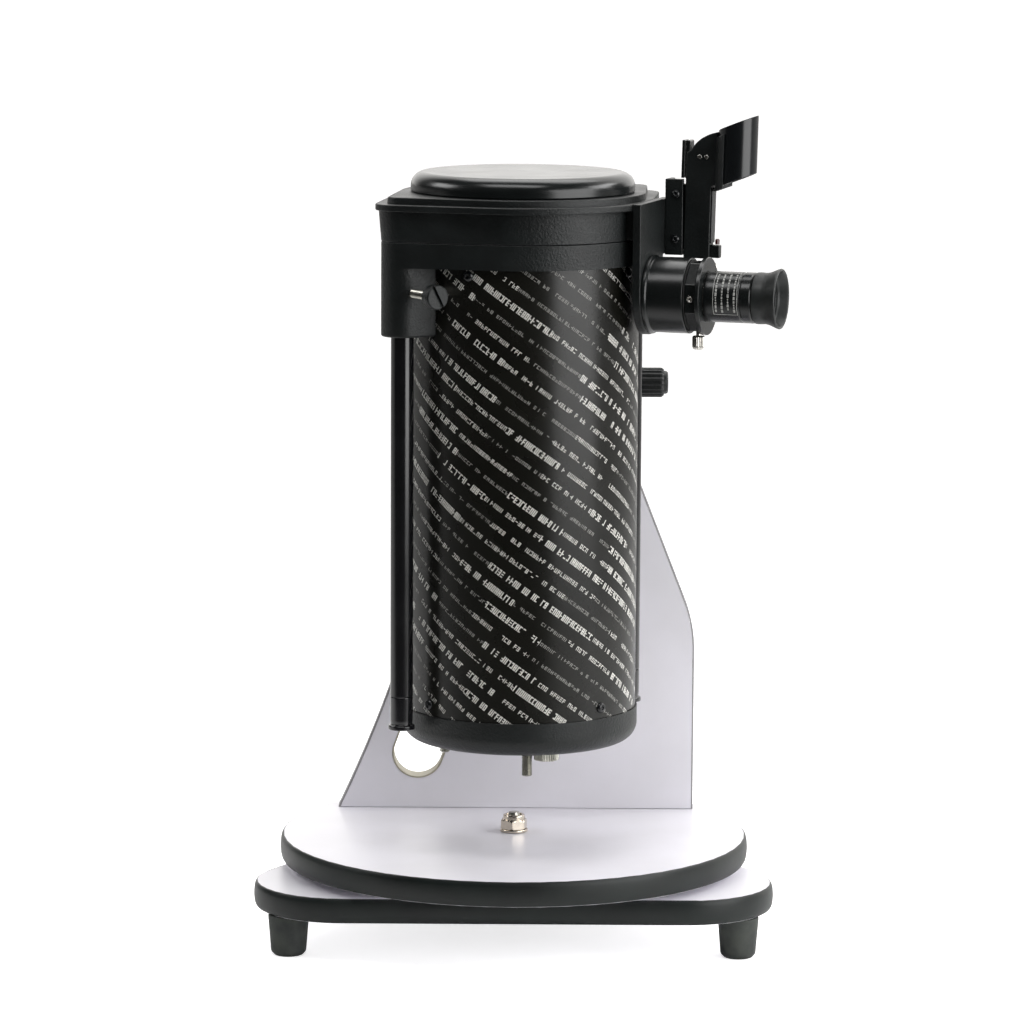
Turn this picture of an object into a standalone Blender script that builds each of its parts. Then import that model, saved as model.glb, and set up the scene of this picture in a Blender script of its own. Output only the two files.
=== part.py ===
"""Tabletop reflector telescope on a single-arm rocker base, collapsed, tube pointing up.

Lengths in the constants are millimetres. Drawing coordinates put the azimuth pivot at
x = y = 0 and the ground at z = 0; the ROOT offset then centres the footprint on the
world origin. Each moving group hangs from an empty that sits on its joint's axis.
"""
import math

import bmesh
import bpy
from mathutils import Matrix, Vector

MM = 0.001
GAP = 0.3                      # clearance left between touching pieces

# Where the azimuth pivot lies from the middle of the footprint.
ROOT = (-2.3, -23.7)

# Rocker base
FOOT_HEIGHT = 29.0
FOOT_TOP_RADIUS = 14.3
FOOT_TREAD_RADIUS = 12.3
FOOT_PLACES = ((-156.0, -85.5), (156.0, -85.5), (0.0, 189.0))
BOARD_THICKNESS = 17.5
GROUND_CORNERS = ((-118.0, -55.0), (118.0, -55.0), (0.0, 149.4))
GROUND_CORNER_RADIUS = 63.0
PAD_HEIGHT = 5.5
PAD_RADIUS = 15.0
PAD_CIRCLE = 112.0
TURNTABLE_RADIUS = 165.0
EDGING_WIDTH = 1.8             # how far the rubber edging stands outside the board core

GROUND_TOP = FOOT_HEIGHT + BOARD_THICKNESS
TABLE_BOTTOM = GROUND_TOP + PAD_HEIGHT
TABLE_TOP = TABLE_BOTTOM + BOARD_THICKNESS

# Side arm, a board standing behind the tube
ARM_FRONT = 79.0
ARM_BACK = 96.0
ARM_LEFT_FOOT = -127.5
ARM_RIGHT_FOOT = 129.6
ARM_LEFT_LEAN = 0.47           # sideways run for each unit of rise at the left foot
ARM_SHOULDER_HEIGHT = 186.8
ARM_SHOULDER_RADIUS = 98.0
ARM_SHOULDER_LEAN = 21.4       # degrees that the right edge leans in above the shoulder
ARM_HEAD_RADIUS = 52.0
ARM_BAND = 1.0
GRIP_LOW = (-70.0, 110.0)
GRIP_HIGH = (-48.8, 168.3)
GRIP_RADIUS = 17.4
GRIP_LINER = 1.0

# Tube
TUBE_X = 3.6
TUBE_Y = -50.0
TUBE_RADIUS = 80.0
TUBE_WALL = 1.0
TUBE_BOTTOM = 160.0
TUBE_TOP = 496.0
ALTITUDE_Z = 384.5
CELL_BOTTOM = 148.2
CELL_TOP = 171.9
CELL_RADIUS = 81.5
CELL_EDGE_RADIUS = 12.0
CELL_FLOOR = 4.0
CELL_INNER_RADIUS = 73.5
CELL_VENT_RADIUS = 38.0
COLLIMATION_HOLE_RADIUS = 3.5
COLLIMATION_KNOB_BOTTOM = 142.2
SUPPORT_THICKNESS = 4.0
SUPPORT_RADIUS = 68.0
MIRROR_RADIUS = 65.0
MIRROR_BACK = 166.5
MIRROR_FACE = 183.2
COLLIMATION_CIRCLE = 58.0
COLLIMATION_ANGLES = (-71.6, 48.4, 168.4)
LOCK_ANGLES = (-85.0, 35.0, 155.0)

# Truss
ROD_RADIUS = 7.8
ROD_CIRCLE = 96.4
ROD_ANGLES = (212.6, 37.3)
ROD_TOP = 515.0
PLUG_BOTTOM = 162.7
PLUG_TOP = 185.6
PLUG_FLANGE_RADIUS = 9.1

# Rings: the lower one is fixed to the tube, the upper one rides on the rods
SPLIT_Z = 498.5
LOWER_RING_BOTTOM = 481.3
STUB_BOTTOM = 433.8
RING_RADIUS = 84.0
BOSS_RADIUS = 14.5
FLANGE_BOTTOM = 519.6
FLANGE_TOP = 524.0
FLANGE_RADIUS = 91.5
RIM_TOP = 528.6
LOCK_SCREW_Z = 464.0

# Focuser, looking along its axis, which points outwards at FOCUSER_ANGLE
FOCUSER_ANGLE = -18.0
FOCUSER_Z = 461.0
PLATE_FACE = 92.6              # distance of the focuser plate's outer face from the tube axis
PLATE_THICKNESS = 5.7
PLATE_HALF_WIDTH = 27.5
PLATE_WING = 44.0              # how far the plate runs sideways behind the finder
HOUSING_RADIUS = 25.9
HOUSING_END = 121.3
THREAD_RADIUS = 21.6
BORE_RADIUS = 16.1
COLLAR_END = 130.2
DRAWTUBE_END = 133.2
EYEPIECE_RADIUS = 17.4
EYECUP_START = 167.0
EYECUP_END = 184.6
EYECUP_RADIUS = 20.7

# Red dot finder, in the focuser's frame (outwards, sideways, up)
FINDER_LEAN = 1.3              # degrees that it leans outwards
FINDER_BACK = 105.6
FINDER_FRONT = 124.3
FINDER_NEAR = 30.4
FINDER_FAR = 40.9
FINDER_BOTTOM = 483.8
HOOD_OUT = 142.0
HOOD_SIDE = 35.6
HOOD_RADIUS = 13.7

# Dust cap
CAP_RADIUS = 77.0
CAP_BOTTOM = 529.0
CAP_TOP = 542.2
CAP_EDGE_RADIUS = 9.5

# Sides of round pieces, from the tube down to screw shanks
FINE = 56
ROUND = 36
MEDIUM = 28
SMALL = 16
TINY = 10
SMOOTH_ANGLE = math.radians(35)

MATERIALS = {
    # name: (colour, roughness, metallic)
    "white_laminate": ((0.83, 0.82, 0.85), 0.35, 0.0),
    "edging_black": ((0.035, 0.042, 0.042), 0.55, 0.0),
    "rubber_black": ((0.03, 0.034, 0.034), 0.7, 0.0),
    "edge_grey": ((0.35, 0.35, 0.37), 0.5, 0.0),
    "grip_cream": ((0.76, 0.70, 0.58), 0.5, 0.0),
    "nylon_white": ((0.8, 0.8, 0.76), 0.4, 0.0),
    "zinc_steel": ((0.62, 0.61, 0.58), 0.3, 1.0),
    "chrome": ((0.8, 0.79, 0.76), 0.08, 1.0),
    "tube_black": ((0.04, 0.037, 0.035), 0.3, 0.0),
    "textured_plastic": ((0.028, 0.03, 0.031), 0.5, 0.0),
    "gloss_black": ((0.012, 0.013, 0.014), 0.15, 0.0),
    "anodised_black": ((0.02, 0.02, 0.022), 0.35, 0.6),
    "cap_plastic": ((0.03, 0.032, 0.034), 0.3, 0.0),
    "cast_grey": ((0.2, 0.2, 0.21), 0.5, 0.6),
    "mirror_coating": ((0.9, 0.9, 0.92), 0.02, 1.0),
    "lens_glass": ((0.25, 0.3, 0.32), 0.02, 0.0),
    "felt": ((0.02, 0.02, 0.02), 0.95, 0.0),
}

EMPTY_WORLDS = {}


# ---------------------------------------------------------------- scene helpers

def clear_scene():
    for item in list(bpy.data.objects):
        bpy.data.objects.remove(item, do_unlink=True)


def drawing_matrix(matrix):
    """Turn a matrix in drawing millimetres into one in world metres."""
    placed = Matrix.Translation((ROOT[0], ROOT[1], 0.0)) @ matrix
    placed.translation *= MM
    return placed


def at(x, y, z):
    return Matrix.Translation((x, y, z))


def along(origin, direction, up=(0.0, 0.0, 1.0)):
    """A frame at origin whose local Z runs along direction and whose Y leans to up."""
    z_axis = Vector(direction).normalized()
    x_axis = Vector(up).cross(z_axis).normalized()
    y_axis = z_axis.cross(x_axis)
    frame = Matrix((x_axis, y_axis, z_axis)).transposed().to_4x4()
    return Matrix.Translation(origin) @ frame


def add_empty(name, matrix, parent=None):
    """An empty on a joint's axis; the pieces that move together hang from it."""
    empty = bpy.data.objects.new(name, None)
    bpy.context.scene.collection.objects.link(empty)
    world = drawing_matrix(matrix)
    EMPTY_WORLDS[name] = world
    hang(empty, world, parent)
    return name


def hang(item, world, parent):
    item.matrix_basis = world
    if parent:
        item.parent = bpy.data.objects[parent]
        item.matrix_parent_inverse = EMPTY_WORLDS[parent].inverted()


def material(name):
    existing = bpy.data.materials.get(name)
    if existing:
        return existing
    colour, roughness, metallic = MATERIALS[name]
    made = bpy.data.materials.new(name)
    made.use_nodes = True
    shader = made.node_tree.nodes["Principled BSDF"]
    shader.inputs["Base Color"].default_value = (*colour, 1.0)
    shader.inputs["Roughness"].default_value = roughness
    shader.inputs["Metallic"].default_value = metallic
    return made


def add_piece(name, shape, finish, parent, matrix=None):
    """Make one named object from a bmesh in millimetres, placed in the drawing."""
    bmesh.ops.remove_doubles(shape, verts=shape.verts, dist=0.0005)
    face_outwards(shape)
    bmesh.ops.triangulate(shape, faces=shape.faces)
    shape.transform(Matrix.Scale(MM, 4))
    mesh = bpy.data.meshes.new(name)
    shape.to_mesh(mesh)
    shape.free()
    mesh.shade_smooth()
    mesh.set_sharp_from_angle(angle=SMOOTH_ANGLE)
    piece = bpy.data.objects.new(name, mesh)
    bpy.context.scene.collection.objects.link(piece)
    mesh.materials.append(material(finish).copy())
    mesh.materials[0].name = name
    hang(piece, drawing_matrix(matrix or Matrix()), parent)
    return piece


# ---------------------------------------------------------------- outlines

def circle(radius, count, centre=(0.0, 0.0)):
    return hull([(centre[0], centre[1], radius)], count)


def hull(discs, count):
    """Points around a convex outline wrapped tightly round discs (x, y, radius)."""
    points = []
    for index in range(count):
        turn = math.tau * index / count
        facing = Vector((math.cos(turn), math.sin(turn)))
        disc = max(discs, key=lambda d: d[0] * facing.x + d[1] * facing.y + d[2])
        points.append(Vector((disc[0], disc[1])) + facing * disc[2])
    return points


def polar(radius, angle):
    turn = math.radians(angle)
    return Vector((radius * math.cos(turn), radius * math.sin(turn)))


def arc(centre, radius, start, end, count):
    step = (end - start) / count
    return [Vector(centre) + polar(radius, start + step * i) for i in range(count + 1)]


def bezier(first, pull, last, count):
    points = []
    for index in range(count + 1):
        t = index / count
        point = Vector(first) * (1 - t) ** 2 + Vector(pull) * 2 * t * (1 - t)
        points.append(point + Vector(last) * t * t)
    return points


def ribbed(radius, depth, ribs):
    """A knob's outline: two points on each rib and two in each groove."""
    points = []
    for index in range(ribs * 4):
        out = radius if index % 4 < 2 else radius - depth
        points.append(polar(out, 360.0 * index / (ribs * 4)))
    return points


def polygon(radius_across_flats, sides, turn=0.0):
    corner = radius_across_flats / math.cos(math.pi / sides)
    return [polar(corner, turn + 360.0 * i / sides) for i in range(sides)]


# ---------------------------------------------------------------- solids

def loft(loops, closed=False, shape=None):
    """Skin loops of equal length; closed joins the last to the first, as in a ring."""
    shape = shape or bmesh.new()
    rings = [[shape.verts.new(point) for point in loop] for loop in loops]
    pairs = list(zip(rings, rings[1:]))
    if closed:
        pairs.append((rings[-1], rings[0]))
    for low, high in pairs:
        for i in range(len(low)):
            j = (i + 1) % len(low)
            shape.faces.new((low[i], low[j], high[j], high[i]))
    if not closed:
        shape.faces.new(list(reversed(rings[0])))
        shape.faces.new(rings[-1])
    return shape


def lift(outline, z):
    return [Vector((p.x, p.y, z)) for p in outline]


def lathe(profile, count, closed=False, shape=None, centre=(0.0, 0.0)):
    """Turn (radius, z) pairs about Z. Open profiles are capped at both ends."""
    loops = [lift(circle(radius, count, centre), z) for radius, z in profile]
    return loft(loops, closed, shape)


def prism(outline, low, high, shape=None):
    return loft([lift(outline, low), lift(outline, high)], shape=shape)


def block(low, high, shape=None):
    corners = [(low[0], low[1]), (high[0], low[1]), (high[0], high[1]), (low[0], high[1])]
    return prism([Vector(c) for c in corners], low[2], high[2], shape)


def face_outwards(shape):
    bmesh.ops.recalc_face_normals(shape, faces=shape.faces)
    if shape.calc_volume(signed=True) < 0:
        bmesh.ops.reverse_faces(shape, faces=shape.faces)


def moved(shape, matrix):
    shape.transform(matrix)
    return shape


def turned(shape, angle):
    return moved(shape, Matrix.Rotation(math.radians(angle), 4, "Z"))


def combine(base, tool, operation):
    """Join or cut two closed solids, with the exact solver wherever its result is whole."""
    hosts = []
    volumes = []
    for shape in (base, tool):
        bmesh.ops.triangulate(shape, faces=shape.faces)
        face_outwards(shape)
        volumes.append(shape.calc_volume())
        mesh = bpy.data.meshes.new("working")
        shape.to_mesh(mesh)
        shape.free()
        host = bpy.data.objects.new("working", mesh)
        bpy.context.scene.collection.objects.link(host)
        hosts.append(host)
    step = hosts[0].modifiers.new("combine", "BOOLEAN")
    step.operation = operation
    step.object = hosts[1]
    for solver in ("EXACT", "MANIFOLD"):
        step.solver = solver
        graph = bpy.context.evaluated_depsgraph_get()
        result = bmesh.new()
        result.from_mesh(hosts[0].evaluated_get(graph).to_mesh())
        if is_whole(result, volumes, operation):
            break
    for host in hosts:
        bpy.data.objects.remove(host, do_unlink=True)
    return result


def is_whole(result, volumes, operation):
    """A result is whole if it is closed and holds a volume that its operation can give."""
    if any(len(edge.link_faces) != 2 for edge in result.edges):
        return False
    volume = result.calc_volume()
    if operation == "UNION":
        return max(volumes) * 0.999 < volume < sum(volumes) * 1.001
    return volumes[0] - volumes[1] < volume * 1.001 < volumes[0] * 1.001


def cut(base, tool):
    return combine(base, tool, "DIFFERENCE")


def join(base, tool):
    return combine(base, tool, "UNION")


def drill(base, radius, start, end, count=TINY):
    """Cut a round hole from start to end, both (x, y, z)."""
    run = Vector(end) - Vector(start)
    up = (0.0, 0.0, 1.0) if abs(run.normalized().z) < 0.9 else (0.0, 1.0, 0.0)
    bit = lathe([(radius, 0.0), (radius, run.length)], count)
    return cut(base, moved(bit, along(start, run, up)))


def soften(shape, width, sharper_than=50.0, segments=1):
    """Bevel every edge sharper than the angle given in degrees."""
    limit = math.radians(sharper_than)
    edges = [e for e in shape.edges if len(e.link_faces) == 2 and e.calc_face_angle() > limit]
    bmesh.ops.bevel(shape, geom=edges, offset=width, segments=segments, profile=0.5,
                    affect="EDGES")
    return shape


# ---------------------------------------------------------------- rocker base

def edging_profile(outer, low, high):
    """Rounded T-moulding section as (radius, z), inner face first."""
    inner = outer - EDGING_WIDTH + GAP
    return [(inner, low), (outer - 0.7, low), (outer, low + 1.8), (outer, high - 1.8),
            (outer - 0.7, high), (inner, high)]


def ground_outline(radius, count=ROUND):
    return hull([(x, y, radius) for x, y in GROUND_CORNERS], count)


def build_ground_board(parent):
    core = prism(ground_outline(GROUND_CORNER_RADIUS - EDGING_WIDTH), FOOT_HEIGHT, GROUND_TOP)
    core = drill(core, 5.4, (0, 0, FOOT_HEIGHT - 1), (0, 0, GROUND_TOP + 1), SMALL)
    core = drill(core, 12.0, (0, 0, FOOT_HEIGHT - 1), (0, 0, FOOT_HEIGHT + 8.5), SMALL)
    add_piece("ground_board", core, "white_laminate", parent)
    section = edging_profile(GROUND_CORNER_RADIUS, FOOT_HEIGHT, GROUND_TOP)
    band = loft([lift(ground_outline(radius), z) for radius, z in section], closed=True)
    add_piece("ground_board_edging", band, "edging_black", parent)


def build_feet(parent):
    profile = [(10.4, 0.0), (FOOT_TREAD_RADIUS, 2.2), (FOOT_TOP_RADIUS, FOOT_HEIGHT - GAP)]
    for number, (x, y) in enumerate(FOOT_PLACES, 1):
        add_piece(f"rubber_foot_{number}", lathe(profile, MEDIUM), "rubber_black", parent,
                  at(x, y, 0))


def build_glide_pads(parent):
    profile = [(PAD_RADIUS, GROUND_TOP + GAP), (PAD_RADIUS, TABLE_BOTTOM - GAP)]
    for number, angle in enumerate((90, 210, 330), 1):
        add_piece(f"glide_pad_{number}", lathe(profile, SMALL), "nylon_white", parent,
                  at(*polar(PAD_CIRCLE, angle), 0))


def build_azimuth_pivot(parent):
    head_bottom = FOOT_HEIGHT + 1.2
    head = prism(polygon(8.3, 6), head_bottom, head_bottom + 6.4)
    shank = lathe([(4.9, head_bottom + 6), (4.9, TABLE_TOP + 14)], SMALL)
    add_piece("azimuth_bolt", join(head, shank), "zinc_steel", parent)
    washer_low = TABLE_TOP + GAP
    washer = [(5.3, washer_low), (9.9, washer_low), (9.9, washer_low + 1.9),
              (5.3, washer_low + 1.9)]
    add_piece("azimuth_washer", lathe(washer, MEDIUM, closed=True), "zinc_steel", parent)
    nut_low = washer_low + 2.2
    nut = soften(prism(polygon(8.5, 6), nut_low, nut_low + 7.4), 0.6)
    collar = lathe([(7.6, nut_low + 7), (7.6, nut_low + 9.2), (6.9, nut_low + 10)], SMALL)
    nut = drill(join(nut, collar), 5.2, (0, 0, nut_low - 1), (0, 0, nut_low + 11), SMALL)
    add_piece("azimuth_nut", nut, "zinc_steel", parent)


def build_turntable(parent):
    core_radius = TURNTABLE_RADIUS - EDGING_WIDTH
    board = [(5.6, TABLE_BOTTOM), (core_radius, TABLE_BOTTOM), (core_radius, TABLE_TOP),
             (5.6, TABLE_TOP)]
    add_piece("turntable_board", lathe(board, FINE, closed=True), "white_laminate", parent)
    section = edging_profile(TURNTABLE_RADIUS, TABLE_BOTTOM, TABLE_TOP)
    add_piece("turntable_edging", lathe(section, FINE, closed=True), "edging_black", parent)


# ---------------------------------------------------------------- side arm

def arm_outline(inset):
    """The arm's outline in (x, height), anticlockwise from the left foot."""
    head = (TUBE_X, ALTITUDE_Z)
    head_radius = ARM_HEAD_RADIUS - inset
    foot_z = TABLE_TOP + GAP
    left_top = (TUBE_X - head_radius, ALTITUDE_Z)
    left_foot = (ARM_LEFT_FOOT + inset * 1.1, foot_z)
    pull = (left_top[0], foot_z + (left_top[0] - left_foot[0]) / ARM_LEFT_LEAN)
    shoulder_centre = (ARM_RIGHT_FOOT - ARM_SHOULDER_RADIUS, ARM_SHOULDER_HEIGHT)
    points = [Vector((ARM_RIGHT_FOOT - inset, foot_z))]
    points += arc(shoulder_centre, ARM_SHOULDER_RADIUS - inset, 0.0, ARM_SHOULDER_LEAN, 4)
    points += arc(head, head_radius, ARM_SHOULDER_LEAN, 180.0, 14)
    points += bezier(left_top, pull, left_foot, 10)[1:]
    return points


def upright(shape):
    """Stand a shape drawn in (x, height) up in the X-Z plane, z becoming depth along +Y."""
    return moved(shape, Matrix(((1, 0, 0, 0), (0, 0, 1, 0), (0, 1, 0, 0), (0, 0, 0, 1))))


def grip_outline(radius):
    return hull([(*GRIP_LOW, radius), (*GRIP_HIGH, radius)], ROUND)


def build_side_arm(parent):
    core = prism(arm_outline(ARM_BAND + GAP), ARM_FRONT, ARM_BACK)
    core = cut(core, prism(grip_outline(GRIP_RADIUS + GRIP_LINER + GAP),
                           ARM_FRONT - 1, ARM_BACK + 1))
    core = upright(core)
    core = drill(core, 5.5, (TUBE_X, ARM_FRONT - 1, ALTITUDE_Z),
                 (TUBE_X, ARM_BACK + 1, ALTITUDE_Z), SMALL)
    add_piece("side_arm", core, "white_laminate", parent)

    outside = arm_outline(0.0)
    inside = arm_outline(ARM_BAND)
    loops = [[(o.x, ARM_FRONT, o.y), (o.x, ARM_BACK, o.y), (i.x, ARM_BACK, i.y),
              (i.x, ARM_FRONT, i.y)] for o, i in zip(outside, inside)]
    add_piece("side_arm_edging", loft(loops), "edge_grey", parent)

    wall = [(GRIP_RADIUS, ARM_FRONT), (GRIP_RADIUS + GRIP_LINER, ARM_FRONT),
            (GRIP_RADIUS + GRIP_LINER, ARM_BACK), (GRIP_RADIUS, ARM_BACK)]
    liner = loft([lift(grip_outline(radius), z) for radius, z in wall], closed=True)
    add_piece("grip_hole_liner", upright(liner), "grip_cream", parent)


# ---------------------------------------------------------------- altitude bearing and saddle

def facing_back(y):
    """A frame on the altitude axis whose local Z points backwards, away from the tube."""
    return along((TUBE_X, y, ALTITUDE_Z), (0, 1, 0))


def build_altitude_bearing(turntable, tilt, knob_parent):
    pad = [(11.0, 0.0), (50.0, 0.0), (50.0, 3.4), (11.0, 3.4)]
    add_piece("altitude_friction_pad", lathe(pad, MEDIUM, closed=True), "nylon_white", turntable,
              facing_back(75.2))
    flange = [(5.3, 0.0), (52.0, 0.0), (52.0, 12.4), (5.3, 12.4)]
    add_piece("altitude_flange", lathe(flange, ROUND, closed=True), "textured_plastic", tilt,
              facing_back(62.4))
    bolt = [(9.0, 0.0), (9.0, 5.6), (4.9, 5.6), (4.9, 64.8)]
    add_piece("altitude_bolt", lathe(bolt, SMALL), "zinc_steel", tilt, facing_back(50.6))
    grip = prism(ribbed(24.0, 1.6, 12), 4.0, 18.0)
    hub = lathe([(15.0, 0.0), (15.0, 4.5)], MEDIUM)
    top = lathe([(21.8, 17.5), (19.6, 21.0)], MEDIUM)
    knob = drill(join(join(grip, hub), top), 5.2, (0, 0, -1), (0, 0, 19), SMALL)
    add_piece("altitude_tension_knob", knob, "textured_plastic", knob_parent,
              facing_back(ARM_BACK + 0.6))


def build_saddle(tilt):
    half_height = 38.0
    body = [(-34.0, 36.0), (-19.75, 36.0), (-22.4, 46.2), (34.0, 46.2), (34.0, 62.0),
            (-34.0, 62.0)]
    outline = [Vector((TUBE_X + x, y)) for x, y in body]
    saddle = soften(prism(outline, ALTITUDE_Z - half_height, ALTITUDE_Z + half_height), 0.8)
    axis_low = (TUBE_X, 45, ALTITUDE_Z)
    saddle = drill(saddle, 9.6, axis_low, (TUBE_X, 56.6, ALTITUDE_Z), SMALL)
    saddle = drill(saddle, 5.3, axis_low, (TUBE_X, 63, ALTITUDE_Z), SMALL)
    saddle = drill(saddle, 3.6, (TUBE_X + 16, 54, ALTITUDE_Z), (TUBE_X + 35, 54, ALTITUDE_Z))
    add_piece("saddle", saddle, "cast_grey", tilt)

    lip = [(19.9, 36.0), (44.0, 36.0), (44.0, 62.0), (34.4, 62.0), (34.4, 45.8), (22.6, 45.8)]
    outline = [Vector((TUBE_X + x, y)) for x, y in lip]
    jaw = soften(prism(outline, ALTITUDE_Z - 24, ALTITUDE_Z + 24), 0.8)
    jaw = drill(jaw, 3.6, (TUBE_X + 30, 54, ALTITUDE_Z), (TUBE_X + 46, 54, ALTITUDE_Z))
    add_piece("saddle_jaw", jaw, "cast_grey", tilt)


def build_dovetail(tilt):
    bar = [(-17.2, 26.5), (17.2, 26.5), (22.0, 45.9), (-22.0, 45.9)]
    outline = [Vector((TUBE_X + x, y)) for x, y in bar]
    solid = soften(prism(outline, ALTITUDE_Z - 60, ALTITUDE_Z + 60), 0.6)
    tube = lathe([(TUBE_RADIUS + GAP, 300), (TUBE_RADIUS + GAP, 460)], FINE,
                 centre=(TUBE_X, TUBE_Y))
    add_piece("dovetail_bar", cut(solid, tube), "anodised_black", tilt)


def build_clamp_knob(parent):
    """Long-reach knob: its grip clears the tube, its shank threads into the saddle."""
    grip = prism(ribbed(10.7, 0.7, 10), 29.0, 57.6)
    nose = lathe([(9.8, 57.2), (8.6, 59.2), (6.6, 60.2)], MEDIUM)
    shank = lathe([(3.2, -26.0), (3.2, 0.5), (5.5, 0.5), (5.5, 30.0)], SMALL)
    knob = join(join(grip, nose), shank)
    frame = along((TUBE_X + 44.0, 54.0, ALTITUDE_Z), (1, 0, 0))
    add_piece("saddle_clamp_knob", knob, "textured_plastic", parent, frame)


# ---------------------------------------------------------------- lower tube

def build_lower_tube(tilt):
    inner = TUBE_RADIUS - TUBE_WALL
    wall = [(inner, TUBE_BOTTOM), (TUBE_RADIUS, TUBE_BOTTOM), (TUBE_RADIUS, TUBE_TOP),
            (inner, TUBE_TOP)]
    add_piece("lower_tube", lathe(wall, FINE, closed=True), "tube_black", tilt,
              at(TUBE_X, TUBE_Y, 0))


def around_tube(radius, angle, z=0.0):
    place = polar(radius, angle)
    return (TUBE_X + place.x, TUBE_Y + place.y, z)


def build_mirror_cell(tilt):
    edge = arc((CELL_RADIUS - CELL_EDGE_RADIUS, CELL_BOTTOM + CELL_EDGE_RADIUS),
               CELL_EDGE_RADIUS, -90.0, 0.0, 4)
    seat = TUBE_BOTTOM - GAP
    floor = CELL_BOTTOM + CELL_FLOOR
    profile = [(CELL_VENT_RADIUS, CELL_BOTTOM)] + [tuple(p) for p in edge]
    profile += [(CELL_RADIUS, CELL_TOP), (TUBE_RADIUS + GAP, CELL_TOP), (TUBE_RADIUS + GAP, seat),
                (CELL_INNER_RADIUS, seat), (CELL_INNER_RADIUS, floor), (CELL_VENT_RADIUS, floor)]
    cell = lathe(profile, FINE, closed=True)
    for angle in COLLIMATION_ANGLES + LOCK_ANGLES:
        spot = polar(COLLIMATION_CIRCLE, angle)
        cell = drill(cell, COLLIMATION_HOLE_RADIUS, (spot.x, spot.y, CELL_BOTTOM - 1),
                     (spot.x, spot.y, floor + 1))
    add_piece("mirror_cell", cell, "textured_plastic", tilt, at(TUBE_X, TUBE_Y, 0))


def build_primary_mirror(tilt):
    top = MIRROR_BACK - GAP
    bottom = top - SUPPORT_THICKNESS
    support = lathe([(20.0, bottom), (SUPPORT_RADIUS, bottom), (SUPPORT_RADIUS, top), (20.0, top)],
                    ROUND, closed=True)
    for angle in COLLIMATION_ANGLES:
        spot = polar(COLLIMATION_CIRCLE, angle)
        support = drill(support, COLLIMATION_HOLE_RADIUS, (spot.x, spot.y, bottom - 1),
                        (spot.x, spot.y, top + 1))
    add_piece("mirror_support", support, "cast_grey", tilt, at(TUBE_X, TUBE_Y, 0))

    face = [(MIRROR_RADIUS * k, MIRROR_FACE - 0.8 + 0.8 * k * k) for k in (0.98, 0.5, 0.04)]
    glass = [(MIRROR_RADIUS, MIRROR_BACK), (MIRROR_RADIUS, MIRROR_FACE - 1.0)] + face
    add_piece("primary_mirror", lathe(glass, ROUND), "mirror_coating", tilt,
              at(TUBE_X, TUBE_Y, 0))

    inside = MIRROR_RADIUS + GAP
    outside = SUPPORT_RADIUS - GAP
    lip = MIRROR_FACE + GAP
    hoop = [(inside, MIRROR_BACK), (outside, MIRROR_BACK), (outside, lip + 1.7),
            (inside - 2.8, lip + 1.7), (inside - 2.8, lip), (inside, lip)]
    add_piece("mirror_retainer", lathe(hoop, ROUND, closed=True), "rubber_black", tilt,
              at(TUBE_X, TUBE_Y, 0))


def build_collimation(parents):
    for number, (angle, parent) in enumerate(zip(COLLIMATION_ANGLES, parents), 1):
        top = CELL_BOTTOM - GAP
        disc = prism(ribbed(8.5, 0.4, 10), COLLIMATION_KNOB_BOTTOM, top)
        shank = lathe([(3.0, top - 0.7), (3.0, MIRROR_BACK - 2 * GAP)], TINY)
        add_piece(f"collimation_knob_{number}", join(disc, shank), "zinc_steel", parent,
                  at(*around_tube(COLLIMATION_CIRCLE, angle)))


def ring_hull(radius, boss_radius):
    """A ring's outline: the tube's circle drawn out round a boss at each rod."""
    bosses = [(*polar(ROD_CIRCLE, angle), boss_radius) for angle in ROD_ANGLES]
    return hull([(0.0, 0.0, radius)] + bosses, FINE)


def build_lower_ring(tilt):
    bore = TUBE_RADIUS + GAP
    top = SPLIT_Z - 0.1
    loops = [lift(ring_hull(RING_RADIUS, BOSS_RADIUS), LOWER_RING_BOTTOM),
             lift(ring_hull(RING_RADIUS, BOSS_RADIUS), top),
             lift(circle(76.5, FINE), top), lift(circle(76.5, FINE), TUBE_TOP + GAP),
             lift(circle(bore, FINE), TUBE_TOP + GAP),
             lift(circle(bore, FINE), LOWER_RING_BOTTOM)]
    ring = loft(loops, closed=True)
    for angle in ROD_ANGLES:
        ring = join(ring, turned(clamp_stub(bore), angle))
    for angle in ROD_ANGLES:
        rod = polar(ROD_CIRCLE, angle)
        ring = drill(ring, ROD_RADIUS + GAP, (rod.x, rod.y, STUB_BOTTOM - 1),
                     (rod.x, rod.y, SPLIT_Z + 1), SMALL)
        facet = rod + polar(BOSS_RADIUS + 2, angle + 90)
        ring = drill(ring, 3.4, (rod.x, rod.y, LOCK_SCREW_Z), (facet.x, facet.y, LOCK_SCREW_Z))
    add_piece("lower_ring", ring, "textured_plastic", tilt, at(TUBE_X, TUBE_Y, 0))


def clamp_stub(bore):
    """The rod clamp below the ring, drawn with its rod on local +X."""
    half = BOSS_RADIUS
    tip = arc((ROD_CIRCLE, 0.0), half, -90.0, 90.0, 10)
    outline = [Vector((70.0, -half))] + tip + [Vector((70.0, half))]
    stub = soften(prism(outline, STUB_BOTTOM, LOWER_RING_BOTTOM + 1), 1.2)
    return cut(stub, lathe([(bore, STUB_BOTTOM - 5), (bore, SPLIT_Z)], FINE))


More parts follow.
